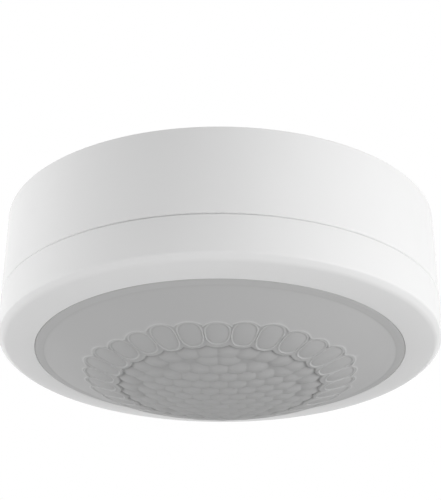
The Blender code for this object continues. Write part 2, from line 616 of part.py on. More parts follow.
def facet(shape, centre_radius, degrees, outline):
    """One pocket's hollow on the dome: an outline of (outward, sideways) steps, set square to the surface."""
    foot = Vector((*on_circle(centre_radius, degrees), dome_height(centre_radius)))
    normal = (foot - Vector((0, 0, ball_radius() - DOME_RISE - RIM_DEPTH))).normalized()
    sideways = Vector((*on_circle(1.0, degrees + 90), 0))
    outward = sideways.cross(normal)
    levels = [[shape.verts.new(foot + normal * lift + outward * u * share + sideways * v * share)
               for u, v in outline] for lift, share in ((-FACET_DEPTH, FACET_TAPER), (FACET_CLEAR, 1.0))]
    low, high = levels
    shape.faces.new(low)
    shape.faces.new(high[::-1])
    for i in range(len(outline)):
        j = (i + 1) % len(outline)
        shape.faces.new((low[i], low[j], high[j], high[i]))


def lens_facets():
    """All the pockets of the lens: an outer ring of ovals, and rings of hexagons, six more in each."""
    shape = bmesh.new()
    turns = [2 * math.pi * i / OVAL_SIDES for i in range(OVAL_SIDES)]
    oval = [(OVAL_HALF_LENGTH * math.cos(turn), OVAL_HALF_WIDTH * math.sin(turn)) for turn in turns]
    for index in range(OVAL_COUNT):
        facet(shape, OVAL_CIRCLE, 90 + 360 * index / OVAL_COUNT, oval)
    hexagon = [on_circle(CELL_RADIUS, 30 + 60 * i) for i in range(6)]
    facet(shape, 0.0, 0, hexagon)
    for ring in range(1, HONEYCOMB_RINGS + 1):
        count = 6 * ring
        for index in range(count):
            facet(shape, ring * HONEYCOMB_PITCH, 90 + 360 * (index + 0.5) / count, hexagon)
    return shape


def falling_shares(steps):
    """Evenly spaced shares from 1 down to 0."""
    return [1 - i / steps for i in range(steps + 1)]


def lens():
    """The domed lens: a cap with a lip, a flange behind the bezel, and facets sunk into its face."""
    milky = material("lens_plastic", LENS_WHITE, 0.35)
    shelf = -RIM_DEPTH + BEZEL_THICKNESS + GAP
    neck = LENS_OPENING_RADIUS - GAP
    edge = DOME_EDGE_RADIUS
    outside = [(neck, dome_height(neck))] + [(edge * share, dome_height(edge * share)) for share in falling_shares(7)]
    inside = [((neck - LENS_WALL) * share, dome_height(neck * share) + LENS_WALL)
              for share in reversed(falling_shares(5))]
    flange_top = shelf + LENS_WALL
    profile = [(LENS_FLANGE_RADIUS, flange_top), (LENS_FLANGE_RADIUS, shelf), (neck, shelf), *outside, *inside,
               (neck - LENS_WALL, flange_top)]
    cap = add_object("lens", turned(profile, RING_SIDES), milky)
    cut(cap, "facets", (lens_facets(), (0, 0, 0)))


def main():
    clear_scene()
    white = material("housing_white", WHITE, 0.4)
    steel = material("screw_steel", STEEL, 0.35, 1.0)
    base_housing(white)
    cable_grommet()
    cover_seal()
    main_board(steel)
    power_parts()
    terminal_block()
    board_link()
    sensor_carrier(white, steel)
    sensor_board(steel)
    detectors()
    adjusters()
    boss_top = front_cover(white, steel)
    lens_retainer(white, boss_top)
    lens()


main()
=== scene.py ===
"""Dresses a round ceiling motion sensor: smooth housing, cover and faceted lens, and finishes for all its parts.

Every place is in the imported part's own frame: the ceiling face is z = 0, the sensor hangs along -Z and the
camera stands on the -Y side. Shapes are worked out in millimetres and put into the meshes in metres.
"""

import json
import math

import bpy
import numpy as np
from mathutils import Euler, Matrix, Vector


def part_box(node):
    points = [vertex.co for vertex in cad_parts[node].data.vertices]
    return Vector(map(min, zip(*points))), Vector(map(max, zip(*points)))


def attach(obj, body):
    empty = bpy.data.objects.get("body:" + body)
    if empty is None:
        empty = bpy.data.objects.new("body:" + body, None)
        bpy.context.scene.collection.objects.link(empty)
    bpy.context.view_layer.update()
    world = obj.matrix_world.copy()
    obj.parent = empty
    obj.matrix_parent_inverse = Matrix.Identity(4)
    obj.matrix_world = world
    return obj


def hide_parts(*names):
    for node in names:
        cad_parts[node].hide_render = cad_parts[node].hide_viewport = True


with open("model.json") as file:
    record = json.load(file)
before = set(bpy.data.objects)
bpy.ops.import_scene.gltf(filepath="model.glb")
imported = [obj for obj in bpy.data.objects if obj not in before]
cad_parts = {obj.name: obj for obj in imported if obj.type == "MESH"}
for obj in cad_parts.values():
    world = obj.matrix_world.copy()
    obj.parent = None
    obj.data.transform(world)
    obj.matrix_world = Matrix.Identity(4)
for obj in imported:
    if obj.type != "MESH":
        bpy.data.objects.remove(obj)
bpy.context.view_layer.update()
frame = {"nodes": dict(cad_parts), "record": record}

MM = 0.001


def corners_of(node):
    """A node's lowest and highest corners at rest, in millimetres."""
    low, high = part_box(node)
    return np.array(low) / MM, np.array(high) / MM


# Sizes read from the frame
base_low, base_high = corners_of("base_housing")
cover_low, cover_high = corners_of("front_cover")
lens_high = corners_of("lens")[1]
body_of = {node: body for body, nodes in frame["record"]["behaviour"]["bodies"].items() for node in nodes}
slot_of = {part["node"]: part["material_slot"] for part in frame["record"]["subparts"]}

# Base housing
BASE_SEAM_RADIUS = base_high[0]
BASE_TAPER = 0.6  # how much the base narrows towards the ceiling
BASE_TOP_RADIUS = BASE_SEAM_RADIUS - BASE_TAPER
SEAM = -21.6
SPIGOT_END = base_low[2]
SPIGOT_RADIUS = 50.2
SPIGOT_INNER_RADIUS = 48.0
GROOVE_RADIUS = 48.8
GROOVE_INSET = 1.1
GROOVE_TOP = SEAM - GROOVE_INSET
GROOVE_FOOT = SPIGOT_END + GROOVE_INSET
PLATE = 2.5
WALL = 2.4
WALL_STEP = 1.5
CABLE_HOLE_RADIUS = 8.0
CABLE_HOLE_Y = 12.0
FIXING_SLOT_LENGTH = 9.0
FIXING_SLOT_WIDTH = 4.6
FIXING_SLOT_X = 30.0
STANDOFFS = (43.5, (30, 150, 270), 3.2, -23.7, 8.0)  # circle, angles, radius, foot and depth of the screw's hole
BOARD_BOSSES = (33.5, (90, 225, 315), 3.0, -8.7, 5.0)
POST_SUNK = 0.4  # how far a post is sunk into the plate
PILOT_RADIUS = 1.2
GROMMET_EDGE = 7.7  # radius of the grommet's neck in the hole
GROMMET_WALL = 1.2
CABLE_RADIUS = 3.6
PLAY = 0.3  # clearance that the construction leaves between neighbouring pieces

# Front cover
COVER_RADIUS = cover_high[0]
SEAM_GAP = 0.05
COVER_TOP = SEAM - SEAM_GAP
RIM = cover_low[2]
LENS_OPENING_RADIUS = 44.25
CREASE_FOOT = -30.9  # where the wall turns into the bezel's sloped shoulder
CREASE_FILLET = 0.7
SHOULDER_RADIUS = 51.6
SHOULDER_FILLET = 2.5
BEZEL_SLOPE = math.radians(8.5)
COVER_WALL = 2.2
BEZEL_THICKNESS = 2.3
SHELF = RIM + BEZEL_THICKNESS
SHELF_STEP = (0.6, 0.9)  # width and height of the slope between the shelf and the wall
COVER_BOSS_CIRCLE = 48.6
COVER_BOSS_ANGLES = (90, 210, 330)
COVER_BOSS_RADIUS = 2.0
COVER_BOSS_HEIGHT = 1.5
COVER_BOSS_TOP = SHELF + COVER_BOSS_HEIGHT

# Lens
LENS_FLANGE_RADIUS = lens_high[0]
LENS_FLANGE_TOP = lens_high[2]
LENS_WALL = 1.2
LENS_PLAY = 0.04
LENS_NECK_RADIUS = LENS_OPENING_RADIUS - LENS_PLAY
LENS_CORE_RADIUS = 11.0  # fewer points go round within it
DOME_RISE = 11.4
DOME_EDGE_RADIUS = 42.0  # a gently sloped lip runs from here to the lens edge
LENS_LIP_SLOPE = 0.2
CAP_RISE = DOME_RISE - LENS_LIP_SLOPE * (LENS_OPENING_RADIUS - DOME_EDGE_RADIUS)
DOME_BALL_RADIUS = (DOME_EDGE_RADIUS**2 + CAP_RISE**2) / (2 * CAP_RISE)
BALL_MIDDLE = np.array([0, 0, RIM - DOME_RISE + DOME_BALL_RADIUS])
OVAL_COUNT = 30
LENS_TURN = math.radians(-1.2)  # how far the lens is turned in the cover
RING_OUTER = 32.4  # the sunk ring that holds the ovals, and how far its edges curve within one oval's share
RING_INNER = 24.0
OUTER_SCALLOP = 1.3
INNER_SCALLOP = 0.9
OUTER_LIP = 0.08
RING_DEPTH = 0.26
RING_WALL = 0.35
OVAL_CIRCLE = 28.7
OVAL_HALF_LENGTH = 3.1
OVAL_GROWTH = 0.8  # how much longer the half length gets half way between eight places round the ring
GROWTH_WAVES = 4  # waves of the sine whose square makes the ovals longer
OVAL_SHARE = 0.86  # the oval's width as a share of its pitch
OVAL_ROUNDNESS = 2.5  # power of the oval's outline: 2 is an ellipse, more is squarer
OVAL_RISE = 0.32
LIP_RISE = 0.25
LIP_PLACE = 1.07  # where the lip runs, and its half width, as shares of the way from the oval's middle to its edge
LIP_SPREAD = 0.055
LIP_GROOVE_PLACE = 0.97  # the same for the groove inside the lip
LIP_GROOVE_SPREAD = 0.05
OUTER_CELLS = 30
OUTER_CELL_CIRCLE = 21.8
CELL_PITCH = 4.3
CELL_FIELD = 18.8  # radius within which the cells stand in straight rows
CELL_ROWS = 5  # rows, and cells in a row, that are tried to each side of the middle
HONEYCOMB_DEPTH = 0.85
HONEYCOMB_CROWN = 0.75
CELL_REACH = 2.4  # how far from its middle a cell falls to the depth of the field
SIDE_WEIGHT = 0.6  # how fast a cell falls to its sides, as a share of its fall before and behind
STEP_WALL = 0.25
OVAL_TONE = -0.08  # how much the milky plastic's tone changes where it is thinner
# painted highlight on the lip round each oval
LIP_PAINTED_HIGHLIGHT = 0.18
# painted shade in the groove inside each lip
LIP_GROOVE_PAINTED_SHADE = -0.06
# painted highlight on the ring's scalloped outer edge
OUTER_EDGE_PAINTED_HIGHLIGHT = 0.2
HONEYCOMB_TONE = -0.11
# painted shade in the creases between the honeycomb's cells
CREASE_PAINTED_SHADE = -0.08
# painted shade at the foot of the step down to the honeycomb
STEP_PAINTED_SHADE = -0.15
# painted light on the lens's gently sloped lip
LENS_LIP_PAINTED_LIGHT = 0.04
LENS_LIP_STEP = 0.5
# painted shade in the groove between the dome and the lens's lip
LENS_GROOVE_PAINTED_SHADE = -0.02
LENS_GROOVE_SPREAD = 0.4
LIP_MARGINS = (0.2, 1.0)  # how far inside the lens edge the lip's rings start, and how far past the lip they end

# Screws: node, how many, height of the head, radius of the shank
SCREWS = (("board_screw", 3, 1.7, 0.9), ("carrier_screw", 3, 1.5, 0.9), ("sensor_screw", 2, 1.2, 0.9),
          ("terminal_screw", 4, 1.6, 1.0), ("retainer_screw", 3, 1.0, 0.85))
THREAD_PITCH = 0.5
THREAD_DEPTH = 0.2  # as a share of the shank's radius
SCREW_TIP = 0.5  # length over which the tip tapers to half
HEAD_WALL = 0.6  # straight part of the head, and its fillets, as shares of its height
HEAD_FILLET = 0.2
HEAD_FLAT = 0.8  # radius of the flat, width of the slot and length of its cutter, as shares of the head's radius
DRIVE_WIDTH = 0.4
DRIVE_LENGTH = 3

# Small parts inside
SLOT_WIDTH = 0.7
SLOT_DEPTH = 0.7
CAN_RADIUS = 4.1
CAN_FLANGE = 0.8
WINDOW_SEAT = 1.1
LED_RADIUS = 1.5
LED_COLLAR = 0.6
LED_DOME = 1.44
CRIMP_DEPTH = 0.6
CRIMP_PLACES = (1.2, 1.8, 2.4)  # upper edge, bottom and lower edge of the crimp, below the capacitor's foot
VENT_RADIUS = 0.8
VENT_PLACE = (-4.5, -6.5)  # from the relay's middle
DIAL_SEAT_RADIUS = 2.4
DIAL_SEAT = 1.2
BUTTON_GUIDE_RADIUS = 2.0
BUTTON_GUIDE = 1.6

# Finishes
LENS_COLOUR = (0.488, 0.488, 0.488)
LENS_SHEEN = 0.02
HOUSING_COLOUR = (0.80, 0.80, 0.80)
HOUSING_SHEEN = 0.12
COAT_ROUGHNESS = 0.05
STREAK_SCALE = 9000.0
STREAK_PULL = (0.05, 1, 1)
WAVE_SCALE = 0.02  # scale of the soft waves in moulded plastic, as a share of its grain's
FIELD_SIZE = 9.0  # sizes of the circuit board's pattern, in millimetres
TRACK_PITCH = 1.27
TRACK_WIDTH = 0.5
PAD_PITCH = 2.54
PAD_RADIUS = 0.6
DRILL_RADIUS = 0.28
FIELD_TURNED = 0.5  # chance values above which a field's tracks run along X, a field has tracks, and a pad shows
FIELD_USED = 0.3
PAD_SHOWN = 0.62
LACQUER = (0.02, 0.135, 0.06, 1)
TRACK = (0.06, 0.27, 0.11, 1)
TIN = (0.66, 0.66, 0.62, 1)
BORE = (0.015, 0.015, 0.012, 1)
CERAMIC = (0.62, 0.46, 0.30, 1)
WINDING = (0.36, 0.10, 0.03, 1)
WINDING_RADIUS = 1.9
WINDING_PITCH = 0.8
WINDING_WIDTH = 0.4
SLEEVE = (0.03, 0.04, 0.08, 1)
SLEEVE_BAND = (0.52, 0.54, 0.56, 1)
BARE_METAL = (0.72, 0.72, 0.72, 1)
BARE_END = 0.8  # radius of the bare end, and where the band starts, as shares of the capacitor's radius
BAND_START = 0.9

# Plain finishes: colour, roughness, drift of the tone, and a scale and depth of the grain that differ
PLAIN_FINISHES = {
    "grommet_rubber": ((0.12, 0.12, 0.12), 0.75, 0.3, 2500.0, 0.03),
    "seal_rubber": ((0.07, 0.07, 0.07), 0.7, 0.3, 2500.0, 0.03),
    "terminal_plastic": ((0.16, 0.34, 0.20), 0.45, 0.12),
    "relay_case": ((0.04, 0.09, 0.20), 0.4, 0.15),
    "capacitor_case": ((0.62, 0.50, 0.06), 0.4, 0.12),
    "varistor_coat": ((0.05, 0.16, 0.36), 0.3, 0.25, 700.0, 0.15),
    "fuse_cap": ((0.05, 0.05, 0.05), 0.45, 0.25),
    "connector_black": ((0.03, 0.03, 0.03), 0.45, 0.25),
    "trimmer_blue": ((0.04, 0.13, 0.42), 0.4, 0.15),
    "dial_white": ((0.74, 0.74, 0.70), 0.4, 0.08),
    "switch_black": ((0.03, 0.03, 0.03), 0.4, 0.25),
    "button_grey": ((0.36, 0.37, 0.38), 0.4, 0.12),
}
# Metals: two tints and roughness
METAL_FINISHES = {
    "screw_steel": ((0.62, 0.62, 0.60), (0.64, 0.60, 0.50), 0.28),
    "clamp_steel": ((0.62, 0.62, 0.60), (0.56, 0.57, 0.58), 0.34),
    "sensor_can": ((0.66, 0.63, 0.55), (0.60, 0.58, 0.52), 0.24),
}
# Clear and polished finishes: colour, roughness, share of light let through, and coat
CLEAR_FINISHES = {
    "window_filter": ((0.05, 0.045, 0.06), 0.12, 0.0, 0.6),
    "led_red": ((0.62, 0.03, 0.02), 0.1, 0.6, 0.0),
    "receiver_black": ((0.02, 0.018, 0.024), 0.2, 0.0, 0.3),
}

# Stage: lamps have a name, an azimuth from the camera's side, an elevation and watts
LAMPS = (("key_lamp", 62.5, -16, 7.3), ("fill_lamp", -93, -12, 6.8), ("back_lamp", 180, 50, 3.6))
LAMP_DISTANCE = 1.0
LAMP_SIZE = (0.5, 1.0)
WHITE = (1, 1, 1, 1)
FLOOR_COLOUR = (0.66, 0.66, 0.66)
FLOOR_HALF_SIZE = 8000.0  # in millimetres, like its height
FLOOR_HEIGHT = -1300.0
FLOOR_GLOW = 0.3
WORLD_LIGHT = 0.51
WORLD_LEAN = -0.20  # how much of the light moves to the camera's side

# How finely surfaces are divided
SHELL_SIDES = 288
SMALL_SIDES = 48
SCREW_SIDES = 24
LENS_SIDES = 225
LENS_RINGS = ((16, 1), (7, 2), (56, 4), (48, 2), (36, 1))  # rings in each zone, and times LENS_SIDES points round
INNER_RINGS = 10
THREAD_STEPS = 8
FILLET_STEPS = 5
SHARP_ANGLE = math.radians(40)  # edges steeper than this stay crisp

# Camera, worked out from the ceiling edge, the seam and the lens edge in the photograph
CAMERA_ELEVATION = -24.5
CAMERA_DISTANCE = 0.4005
CAMERA_TARGET = -0.0122  # height of the place on the axis that it looks at
CAMERA_LENS = 117.5
CAMERA_SHIFT = (0.0004, 0.051)
CAMERA_ROLL = math.radians(0.27)


# Surfaces

def turns_of(sides):
    """Evenly spaced turns round a circle."""
    return np.linspace(0, 2 * np.pi, sides, endpoint=False)


def around(radius, turn, height, at=(0.0, 0.0)):
    """Points about an upright axis: (r cos t, r sin t, z) for a radius, turn and height."""
    radius, turn, height = np.broadcast_arrays(radius, turn, height)
    return np.stack([radius * np.cos(turn) + at[0], radius * np.sin(turn) + at[1], height], axis=-1)


def rounded(corners):
    """Replaces each corner of a closed outline with an arc, from an array of (radius, height, fillet) rows.

    With unit vectors to the corners before and after, the arc starts where the first side touches it and turns
    about a centre on the bisector, at fillet / sin(half the angle) from the corner.
    """
    corners = np.array(corners, dtype=float)
    place, fillet = corners[:, :2], corners[:, 2]
    back = np.roll(place, 1, axis=0) - place
    ahead = np.roll(place, -1, axis=0) - place
    back /= np.linalg.norm(back, axis=1, keepdims=True)
    ahead /= np.linalg.norm(ahead, axis=1, keepdims=True)
    half = np.arccos(np.clip((back * ahead).sum(axis=1), -1, 1)) / 2
    bisector = back + ahead
    bisector /= np.linalg.norm(bisector, axis=1, keepdims=True)
    centre = place + bisector * (fillet / np.sin(half))[:, None]
    first = place + back * (fillet / np.tan(half))[:, None] - centre
    turn = (np.pi - 2 * half) * np.sign(back[:, 0] * ahead[:, 1] - back[:, 1] * ahead[:, 0])
    angle = -turn[:, None] * np.linspace(0, 1, FILLET_STEPS + 1)
    cosine, sine = np.cos(angle), np.sin(angle)
    across = cosine * first[:, :1] - sine * first[:, 1:]
    along = sine * first[:, :1] + cosine * first[:, 1:]
    return (centre[:, None, :] + np.stack([across, along], axis=-1)).reshape(-1, 2)


def turned(outline, sides, at=(0.0, 0.0), closed=True):
    """Carries an outline of (radius, height) points round an upright axis.

    The outline runs down the outside and back up the inside, so that the faces point outwards. An open outline
    has both its ends on the axis, where a fan of triangles closes it.
    """
    radius, height = np.array(outline).T
    points = around(radius[:, None], turns_of(sides), height[:, None], at)
    if closed:
        return layered([*points, points[0]], closed=True)
    return layered([points[0, :1], *points[1:-1], points[-1, :1]])


def layered(rings, closed=False):
    """Joins rings of points, each with as many points as the one before, twice or half as many, or a single one.

    Rings of one size get quads. Where the number doubles or halves, three triangles fill each step of the coarser
    ring, and a single point gets a fan. In a closed run the last ring is the first one again.
    """
    kept = rings[:-1] if closed else rings
    starts = np.cumsum([0] + [len(ring) for ring in kept])
    index = [np.arange(len(ring)) + start for ring, start in zip(kept, starts)]
    if closed:
        index.append(index[0])
    faces = []
    for upper, lower in zip(index[:-1], index[1:]):
        faces += [face for block in strip(upper, lower) for face in block.tolist()]
    return np.concatenate(kept), faces


def strip(upper, lower):
    """Blocks of faces between two rings of point numbers."""
    upper_next, lower_next = np.roll(upper, -1), np.roll(lower, -1)
    if len(upper) == 1:
        return [np.stack([np.repeat(upper, len(lower)), lower, lower_next], axis=-1)]
    if len(lower) == 1:
        return [np.stack([upper, np.repeat(lower, len(upper)), upper_next], axis=-1)]
    if len(upper) == len(lower):
        return [np.stack([upper, lower, lower_next, upper_next], axis=-1)]
    if len(upper) > len(lower):
        even, odd, after = upper[::2], upper[1::2], upper_next[1::2]
        return [np.stack([even, lower, odd], axis=-1), np.stack([odd, lower, lower_next], axis=-1),
                np.stack([odd, lower_next, after], axis=-1)]
    even, odd, after = lower[::2], lower[1::2], lower_next[1::2]
    return [np.stack([upper, even, odd], axis=-1), np.stack([upper, odd, upper_next], axis=-1),
            np.stack([upper_next, odd, after], axis=-1)]


def joined(*surfaces):
    """Several surfaces as one list of points and faces."""
    starts = np.cumsum([0] + [len(points) for points, faces in surfaces])
    faces = [[corner + start for corner in face]
             for start, (points, faces) in zip(starts.tolist(), surfaces) for face in faces]
    return np.concatenate([points for points, faces in surfaces]), faces


def on_circle(radius, degrees):
    """Places on a circle about the axis, one row for each angle."""
    return around(radius, np.radians(degrees), 0.0)[..., :2]


def spun_solid(corners, sides, at=(0.0, 0.0)):
    """A solid turned about an upright axis, from (radius, height, fillet) corners between its ends on the axis."""
    ends = (0, corners[0][1], 0), (0, corners[-1][1], 0)
    outline = rounded([ends[0], *corners, ends[1]])[FILLET_STEPS:-FILLET_STEPS]
    return turned(outline, sides, at, closed=False)


def posts(circle, angles, radius, foot, pilot_depth):
    """Round screw posts on a circle, each a turned outline with a rounded foot and a blind hole in it."""
    corners = [(radius, POST_SUNK - PLATE, 0.1), (radius, foot, 0.3), (PILOT_RADIUS, foot, 0.15),
               (PILOT_RADIUS, foot + pilot_depth, 0.1)]
    return [spun_solid(corners, SMALL_SIDES, at) for at in on_circle(circle, angles)]


def moulded_box(low, high, corner, edge):
    """A box with round corners and edges, from its lowest and highest corners.

    Rounded rectangles follow each other down: four quarter circles about fixed corner middles, whose radius
    shrinks by edge times (1 - sin a) over the upper edge and edge times (1 - cos a) over the lower one.
    """
    rise = np.linspace(0, np.pi / 2, FILLET_STEPS)
    inset = edge * (1 - np.concatenate([np.sin(rise), np.cos(rise)]))
    height = np.concatenate([high[2] - edge * (1 - np.cos(rise)), low[2] + edge * (1 - np.sin(rise))])
    quarter = np.repeat(np.arange(4), FILLET_STEPS)
    turns = 90 * (quarter + np.tile(np.linspace(0, 1, FILLET_STEPS), 4))
    middle, half = (low + high) / 2, (high - low) / 2
    points = np.empty((len(inset), len(turns), 3))
    sides = np.sign(on_circle(1, 90 * quarter + 45))
    quarters = (corner - inset)[:, None, None] * on_circle(1, turns)
    points[..., :2] = middle[:2] + sides * (half[:2] - corner) + quarters
    points[..., 2] = height[:, None]
    upper, lower = np.append(middle[:2], high[2]), np.append(middle[:2], low[2])
    return layered([upper[None], *points, lower[None]])


def smoothstep(value):
    """An even rise from 0 to 1 as a value goes from 0 to 1: 3 v squared less 2 v cubed."""
    value = np.clip(value, 0, 1)
    return value * value * (3 - 2 * value)


def add_object(name, surface):
    """Makes one object from a surface in millimetres."""
    points, faces = surface
    mesh = bpy.data.meshes.new(name)
    mesh.from_pydata((points * MM).tolist(), [], faces)
    thing = bpy.data.objects.new(name, mesh)
    bpy.context.scene.collection.objects.link(thing)
    return thing


def add_piece(name, surface, body, slot, *replaced):
    """Makes a finished piece from a surface, riding on a body in place of its CAD nodes."""
    piece = add_object(name, surface)
    piece.data.shade_smooth()
    piece.data.set_sharp_from_angle(angle=SHARP_ANGLE)
    piece.data.materials.append(finishes[slot])
    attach(piece, body)
    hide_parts(*replaced)
    return piece


def pierced(surface, openings):
    """A closed surface with other closed surfaces cut out of it by an exact Boolean."""
    solid, tool = add_object("loose", surface), add_object("loose", openings)
    boolean = solid.modifiers.new("openings", "BOOLEAN")
    boolean.object = tool
    boolean.operation = "DIFFERENCE"
    boolean.solver = "EXACT"
    result = solid.evaluated_get(bpy.context.evaluated_depsgraph_get()).data
    points = np.empty(3 * len(result.vertices))
    result.vertices.foreach_get("co", points)
    faces = [list(face.vertices) for face in result.polygons]
    for thing in (solid, tool):
        bpy.data.meshes.remove(thing.data)
    return points.reshape(-1, 3) / MM, faces


# Housing, cover and lens

def base_shell():
    """The cup on the ceiling: its outline turned about the axis, with posts inside and openings in its plate."""
    shell = spun_solid([
        (BASE_TOP_RADIUS, 0, 0.35), (BASE_SEAM_RADIUS, SEAM, 0.5), (SPIGOT_RADIUS, SEAM, 0.15),
        (SPIGOT_RADIUS, GROOVE_TOP, 0.1), (GROOVE_RADIUS, GROOVE_TOP, 0.15), (GROOVE_RADIUS, GROOVE_FOOT, 0.15),
        (SPIGOT_RADIUS, GROOVE_FOOT, 0.1), (SPIGOT_RADIUS, SPIGOT_END, 0.35),
        (SPIGOT_INNER_RADIUS, SPIGOT_END, 0.3), (SPIGOT_INNER_RADIUS, SEAM + WALL, 0.5),
        (SPIGOT_INNER_RADIUS + WALL_STEP, SEAM + WALL + WALL_STEP, 0.5),
        (BASE_TOP_RADIUS - WALL, -PLATE, 0.8)], SHELL_SIDES)
    cable_hole = drum(CABLE_HOLE_RADIUS, 2 * SMALL_SIDES, (0, CABLE_HOLE_Y))
    openings = joined(cable_hole, fixing_slot(-FIXING_SLOT_X), fixing_slot(FIXING_SLOT_X))
    whole = joined(pierced(shell, openings), *posts(*STANDOFFS), *posts(*BOARD_BOSSES))
    add_piece("base_shell", whole, "base", "housing_white", "base_housing")


def drum(radius, sides, at=(0.0, 0.0)):
    """A plain drum through the plate, to cut with."""
    outline = [(0, PLATE), (radius, PLATE), (radius, -2 * PLATE), (0, -2 * PLATE)]
    return turned(outline, sides, at, closed=False)


def fixing_slot(x):
    """A slot for a ceiling screw: a drum whose two halves are pulled apart along X by the slot's straight part."""
    radius = FIXING_SLOT_WIDTH / 2
    points, faces = drum(radius, SMALL_SIDES)
    points[:, 0] += x + np.sign(np.round(points[:, 0], 6)) * (FIXING_SLOT_LENGTH / 2 - radius)
    return points, faces


def cover_ring():
    """The front cover: wall, crease, shoulder, sloped bezel and inner shelf as one turned outline, and bosses."""
    inside = COVER_RADIUS - COVER_WALL
    shoulder = RIM + (SHOULDER_RADIUS - LENS_OPENING_RADIUS) * math.tan(BEZEL_SLOPE)
    outline = rounded([
        (COVER_RADIUS, COVER_TOP, 0.5), (COVER_RADIUS, CREASE_FOOT, CREASE_FILLET),
        (SHOULDER_RADIUS, shoulder, SHOULDER_FILLET), (LENS_OPENING_RADIUS, RIM, 0.2),
        (LENS_OPENING_RADIUS, SHELF, 0.2), (LENS_FLANGE_RADIUS + PLAY, SHELF, 0.1),
        (inside - SHELF_STEP[0], SHELF + SHELF_STEP[1], 0.2), (inside, COVER_BOSS_TOP, 0.2),
        (inside, COVER_TOP, 0.25)])
    corners = [(PILOT_RADIUS, SHELF, 0.1), (PILOT_RADIUS, COVER_BOSS_TOP, 0.15),
               (COVER_BOSS_RADIUS, COVER_BOSS_TOP, 0.25), (COVER_BOSS_RADIUS, SHELF - PLAY, 0.1)]
    bosses = [spun_solid(corners, SMALL_SIDES, at) for at in on_circle(COVER_BOSS_CIRCLE, COVER_BOSS_ANGLES)]
    whole = joined(turned(outline, SHELL_SIDES), *bosses)
    add_piece("cover_ring", whole, "cover", "housing_white", "front_cover")


def dome_height(radius):
    """Height of the lens's outer face at a radius: a cap of a ball, and an evenly sloped lip round it."""
    within = np.minimum(radius, DOME_EDGE_RADIUS)
    lip = LENS_LIP_SLOPE * (radius - within)
    return RIM - DOME_RISE + DOME_BALL_RADIUS - np.sqrt(DOME_BALL_RADIUS**2 - within**2) + lip


def bell(distance, spread):
    """A bell curve of height 1: e to the power of minus the square of distance over spread."""
    return np.exp(-(distance / spread)**2)


def oval_ring(radius, turn):
    """Depth and change of tone in the sunk ring of ovals, and its inner edge, at a radius and turn.

    A share across each oval's pitch runs from -1 to 1. The ring's edges are parabolas in it, which meet in points.
    The ovals grow longer by the square of a sine with eight swings round the ring. Each swells as one less the
    square of its share of the way to its edge, the power mean of both directions, and a bell curve round it
    raises a lip. Tone is lighter on the lip and the outer edge, as a painted highlight, and darker in the groove
    inside the lip, as painted shade.
    """
    pitch = 2 * np.pi / OVAL_COUNT
    place = (turn + np.pi / 2) / pitch
    across = 2 * (place - np.round(place))
    growth = OVAL_GROWTH * np.sin(GROWTH_WAVES * np.round(place) * pitch)**2
    outer = RING_OUTER + growth - OUTER_SCALLOP * across**2
    floor = smoothstep((outer - radius) / RING_WALL)
    outward = np.abs(radius - OVAL_CIRCLE) / (OVAL_HALF_LENGTH + growth)
    share = (outward**OVAL_ROUNDNESS + np.abs(across / OVAL_SHARE)**OVAL_ROUNDNESS) ** (1 / OVAL_ROUNDNESS)
    lip = floor * bell(share - LIP_PLACE, LIP_SPREAD)
    edge = bell(radius - outer - RING_WALL / 3, RING_WALL / 2)
    depth = floor * RING_DEPTH - OVAL_RISE * np.clip(1 - share**2, 0, 1) - LIP_RISE * lip - OUTER_LIP * edge
    # The groove's darker tone is painted shade. The lighter lip and outer edge in the tone are painted highlights.
    groove = bell(share - LIP_GROOVE_PLACE, LIP_GROOVE_SPREAD)
    tone = OVAL_TONE * floor + LIP_PAINTED_HIGHLIGHT * lip + OUTER_EDGE_PAINTED_HIGHLIGHT * edge + LIP_GROOVE_PAINTED_SHADE * groove
    return depth, tone, RING_INNER + INNER_SCALLOP * across**2


def cell_middles():
    """Middles of the honeycomb's cells: one circle of them, and staggered straight rows within it."""
    outer = on_circle(OUTER_CELL_CIRCLE, 90 + 360 * (np.arange(OUTER_CELLS) + 0.5) / OUTER_CELLS)
    count = np.arange(-CELL_ROWS, CELL_ROWS + 1)
    row, step = np.meshgrid(count, count)
    rows = CELL_PITCH * np.stack([step + row % 2 / 2, row * math.sqrt(3) / 2], axis=-1).reshape(-1, 2)
    return np.concatenate([outer, rows[np.hypot(*rows.T) < CELL_FIELD]])


def honeycomb(radius, turn):
    """Depth and change of tone in the sunk field of small cells, at a radius and turn.

    Each cell middle has a bowl whose depth grows with the square of the distance from it, more slowly to the
    sides. A place takes the shallowest bowl, and painted shade makes it slightly darker in the creases where two
    bowls meet.
    """
    middles = cell_middles()
    x, y = radius * np.cos(turn), radius * np.sin(turn)
    bowls = SIDE_WEIGHT * (x[..., None] - middles[:, 0])**2 + (y[..., None] - middles[:, 1])**2
    fall = np.clip(bowls.min(axis=-1) / CELL_REACH**2, 0, 1)
    # The crease term in the tone is painted shade.
    return HONEYCOMB_DEPTH - HONEYCOMB_CROWN * (1 - fall), HONEYCOMB_TONE + CREASE_PAINTED_SHADE * fall**2


